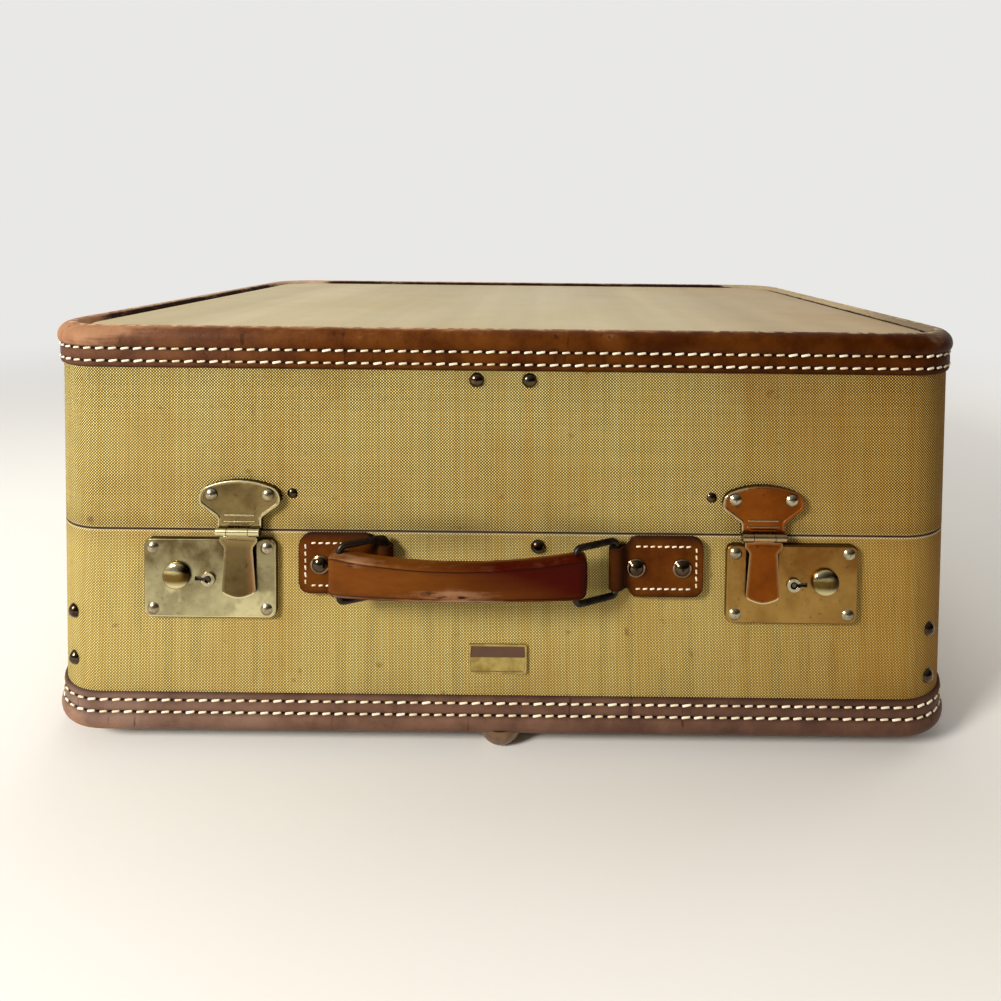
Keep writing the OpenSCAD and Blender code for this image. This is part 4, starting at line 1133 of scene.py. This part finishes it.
bm = bmesh.new()
line = outline(bm, [(-grip_half_len, y, z) for y, z in section])
close_end(bm, line)
for run, steps in ((end_soft, 5), (2 * (grip_half_len - end_soft), 40), (end_soft, 5)):
    line = sweep(bm, line, steps, step=(run / steps, 0, 0))
close_end(bm, line)
crease, grip_right_shade, lightened = marks(bm.verts, "line", "grip_right_shade", "lightened")
for v in bm.verts:
    x, y, z = v.co
    from_edge = grip_mid - abs(z)
    v[crease] = fade(abs(from_edge - crease_in), 0.7 * mm) * (abs(y) > 4 * mm)
    # Painted shade towards the upper right of the front.
    v[grip_right_shade] = clamp((x - 2 * mm + 3 * z) / patch_reach) * (y < 2 * mm)
    # Pale wear on the edges and low in the middle.
    v[lightened] = 0.25 * (from_edge < 1.5 * mm) + 0.6 * fade(abs(x + 2 * mm), patch_reach) * (z < -3 * mm)
    # A painted highlight on the upper left of the front.
    v[lightened] += 0.5 * fade(abs(x - highlight_x), highlight_reach) * (z > 4 * mm) * (y < 0)
    past = max(0, abs(x) - (grip_half_len - end_soft)) / end_soft
    shrink = end_soft * (1 - sqrt(max(0, 1 - past * past)))
    rise = waist_r - sqrt(waist_r ** 2 - x * x)
    z_new = z + (1 if z > 0 else -1) * rise * min(1, abs(z) / (4 * mm))
    z_new *= (1 - 0.75 * shrink / grip_end) * (1 if z > 0 else 0.88)
    y_new = y * (1 - 0.8 * shrink / (5.5 * mm))
    hollow = bow_r - bow - sqrt(bow_r ** 2 - x * x)
    v.co = (grip_x + x, pin_y + hollow + y_new, handle_z + z_new)
bmesh.ops.recalc_face_normals(bm, faces=bm.faces)
grip = fit(bm, "moulded_grip", grip_leather, "handle", "handle_leather", "handle_grip", smooth=70)
rounded = grip.modifiers.new("soften", "SUBSURF")
rounded.levels = rounded.render_levels = 1
refinish(steel, "handle_core")


# Badge
# A small bare plate pinned below the handle: brass with a raised rim, and brown enamel in its upper part.

badge = Finish("badge_brass")
age = use_group(tarnish, badge.place, Size=120.0)
brass = mixed(between(age["Patches"], 0.35, 0.68), dye(196, 174, 106), dye(156, 132, 70))
brass = brass.toward(age["Specks"] * 0.7, 64, 44, 26)
enamel = mixed(age["Patches"], dye(60, 34, 20), dye(94, 60, 38))
painted = badge.mark("enamel")
badge.feed("Metallic", 1.0 - painted)
badge.paint(mixed(painted, brass, enamel), between(age["Patches"], 0.3, 0.7, 0.26, 0.42), age["Patches"],
            0.06 * mm, 0.5)

low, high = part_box("badge_plate")
middle, half_size = (low + high) / 2, (high - low) / 2
enamel_foot = 0.02
bm = bmesh.new()
for v in bmesh.ops.create_grid(bm, x_segments=1, y_segments=2, size=1)["verts"]:
    share = v.co.y if abs(v.co.y) > 0.5 else enamel_foot
    v.co = (middle.x + v.co.x * half_size.x, high.y, middle.z + share * half_size.z)
soften(bm, [v for v in bm.verts if len(v.link_edges) == 2], 1.5 * mm, 5, "VERTICES")
faces = lift(bm, bm.faces[:], (0, low.y - high.y, 0))
for width, depth in ((0.25, 0), (0.75, 0), (0.3, -0.4)):
    bmesh.ops.inset_individual(bm, faces=faces, thickness=width * mm, depth=depth * mm)
enamelled, = marks(bm.verts, "enamel")
for v in max(faces, key=lambda f: f.calc_center_median().z).verts:
    v[enamelled] = 1
fit(bm, "badge_bare", badge, "base", "badge", "badge_plate")


# Studio
# A plain pale floor that fades into the air of the room, soft lights, and a camera where the photograph
# was taken.

air_strength = 0.52
black = (0, 0, 0, 1)
air, (way,), a_out = new_group("Studio air", {"Vector": "Vector"}, ("Window", "Behind"))
x, y, z = split(way)
feed(a_out["Window"], between(x * -0.5 + (y * 0.4 + z * 0.45), -0.6, 0.5))
feed(a_out["Behind"], between(y, 0.1, 0.6))


def air_colour(way):
    """The studio's light from a direction: bright at the window on the left and behind, dim on the right.
    The plain backdrop that is seen is the same all round."""
    side = use_group(air, way)
    lit = mixed(side["Window"], dye(56, 48, 42), dye(244, 244, 244))
    lit = mixed(side["Behind"], lit, (1.45, 1.44, 1.41, 1))
    return mixed(given(way.tree, "Is Camera Ray", "ShaderNodeLightPath"), lit, (1.56, 1.55, 1.52, 1))


floor_finish = Finish("studio_floor", Roughness=0.8, Specular_IOR_Level=0.0, Emission_Strength=air_strength)
place, tree = floor_finish.place, floor_finish.tree
way = given(tree, 0, "ShaderNodeVectorMath", {0: place}, operation="NORMALIZE")
far = between(given(tree, "Value", "ShaderNodeVectorMath", {0: place}, operation="LENGTH"), 0.5, 1.7)
pale = mixed(clouds(place, 2.0), dye(218, 215, 210), dye(224, 221, 216))
floor_finish.feed("Base Color", mixed(far, pale, black))
floor_finish.feed("Emission Color", mixed(far, black, air_colour(way)))
bm = bmesh.new()
bmesh.ops.create_grid(bm, x_segments=1, y_segments=1, size=12)
floor = make(bm, "studio_floor", floor_finish)

world = bpy.data.worlds.new("studio_air")
world.use_nodes = True
backdrop = world.node_tree.nodes["Background"]
feed(backdrop.inputs["Color"], air_colour(given(world.node_tree, "Generated", "ShaderNodeTexCoord")))
feed(backdrop.inputs["Strength"], air_strength)
bpy.context.scene.world = world
bpy.context.scene.view_settings.view_transform = "Standard"


def soft_light(name, place, aim, size, power, colour, mirrored=True):
    data = bpy.data.lights.new(name, "AREA")
    data.shape = "DISK"
    data.size = size
    data.energy = power
    data.color = colour
    lamp = add(name, data)
    lamp.location = place
    lamp.rotation_euler = (Vector(aim) - Vector(place)).to_track_quat("-Z", "Y").to_euler()
    lamp.visible_camera = False
    lamp.visible_glossy = mirrored


soft_light("window", (-1.05, -1.0, 0.8), (0, -0.1, 0.12), 0.4, 32, (1.0, 0.98, 0.93))
soft_light("fill", (1.5, -1.2, 0.6), (0, -0.1, 0.12), 1.2, 1.8, (1.0, 0.78, 0.55), mirrored=False)
soft_light("side", (1.7, 0.55, 0.75), (0.2, 0.05, 0.1), 1.0, 9, (1.0, 0.97, 0.92), mirrored=False)
soft_light("top", (-0.1, 0.5, 1.8), (0, 0, 0.1), 1.0, 8, (1.0, 0.99, 0.95))

# The lens, place and turn of the camera, fitted to the case's outline in the photograph.
look_down = 1.9
roll = 0.62
lens = bpy.data.cameras.new("camera")
lens.sensor_width = 36
lens.lens = 24.93
lens.shift_x = -0.0489
lens.shift_y = -0.2449
lens.clip_start = 0.01
camera = add("camera", lens)
camera.location = (0.0239, -0.5325, 0.2798)
turn = Matrix.Rotation(radians(90 - look_down), 3, "X") @ Matrix.Rotation(radians(roll), 3, "Z")
camera.rotation_euler = turn.to_euler()
bpy.context.scene.camera = camera
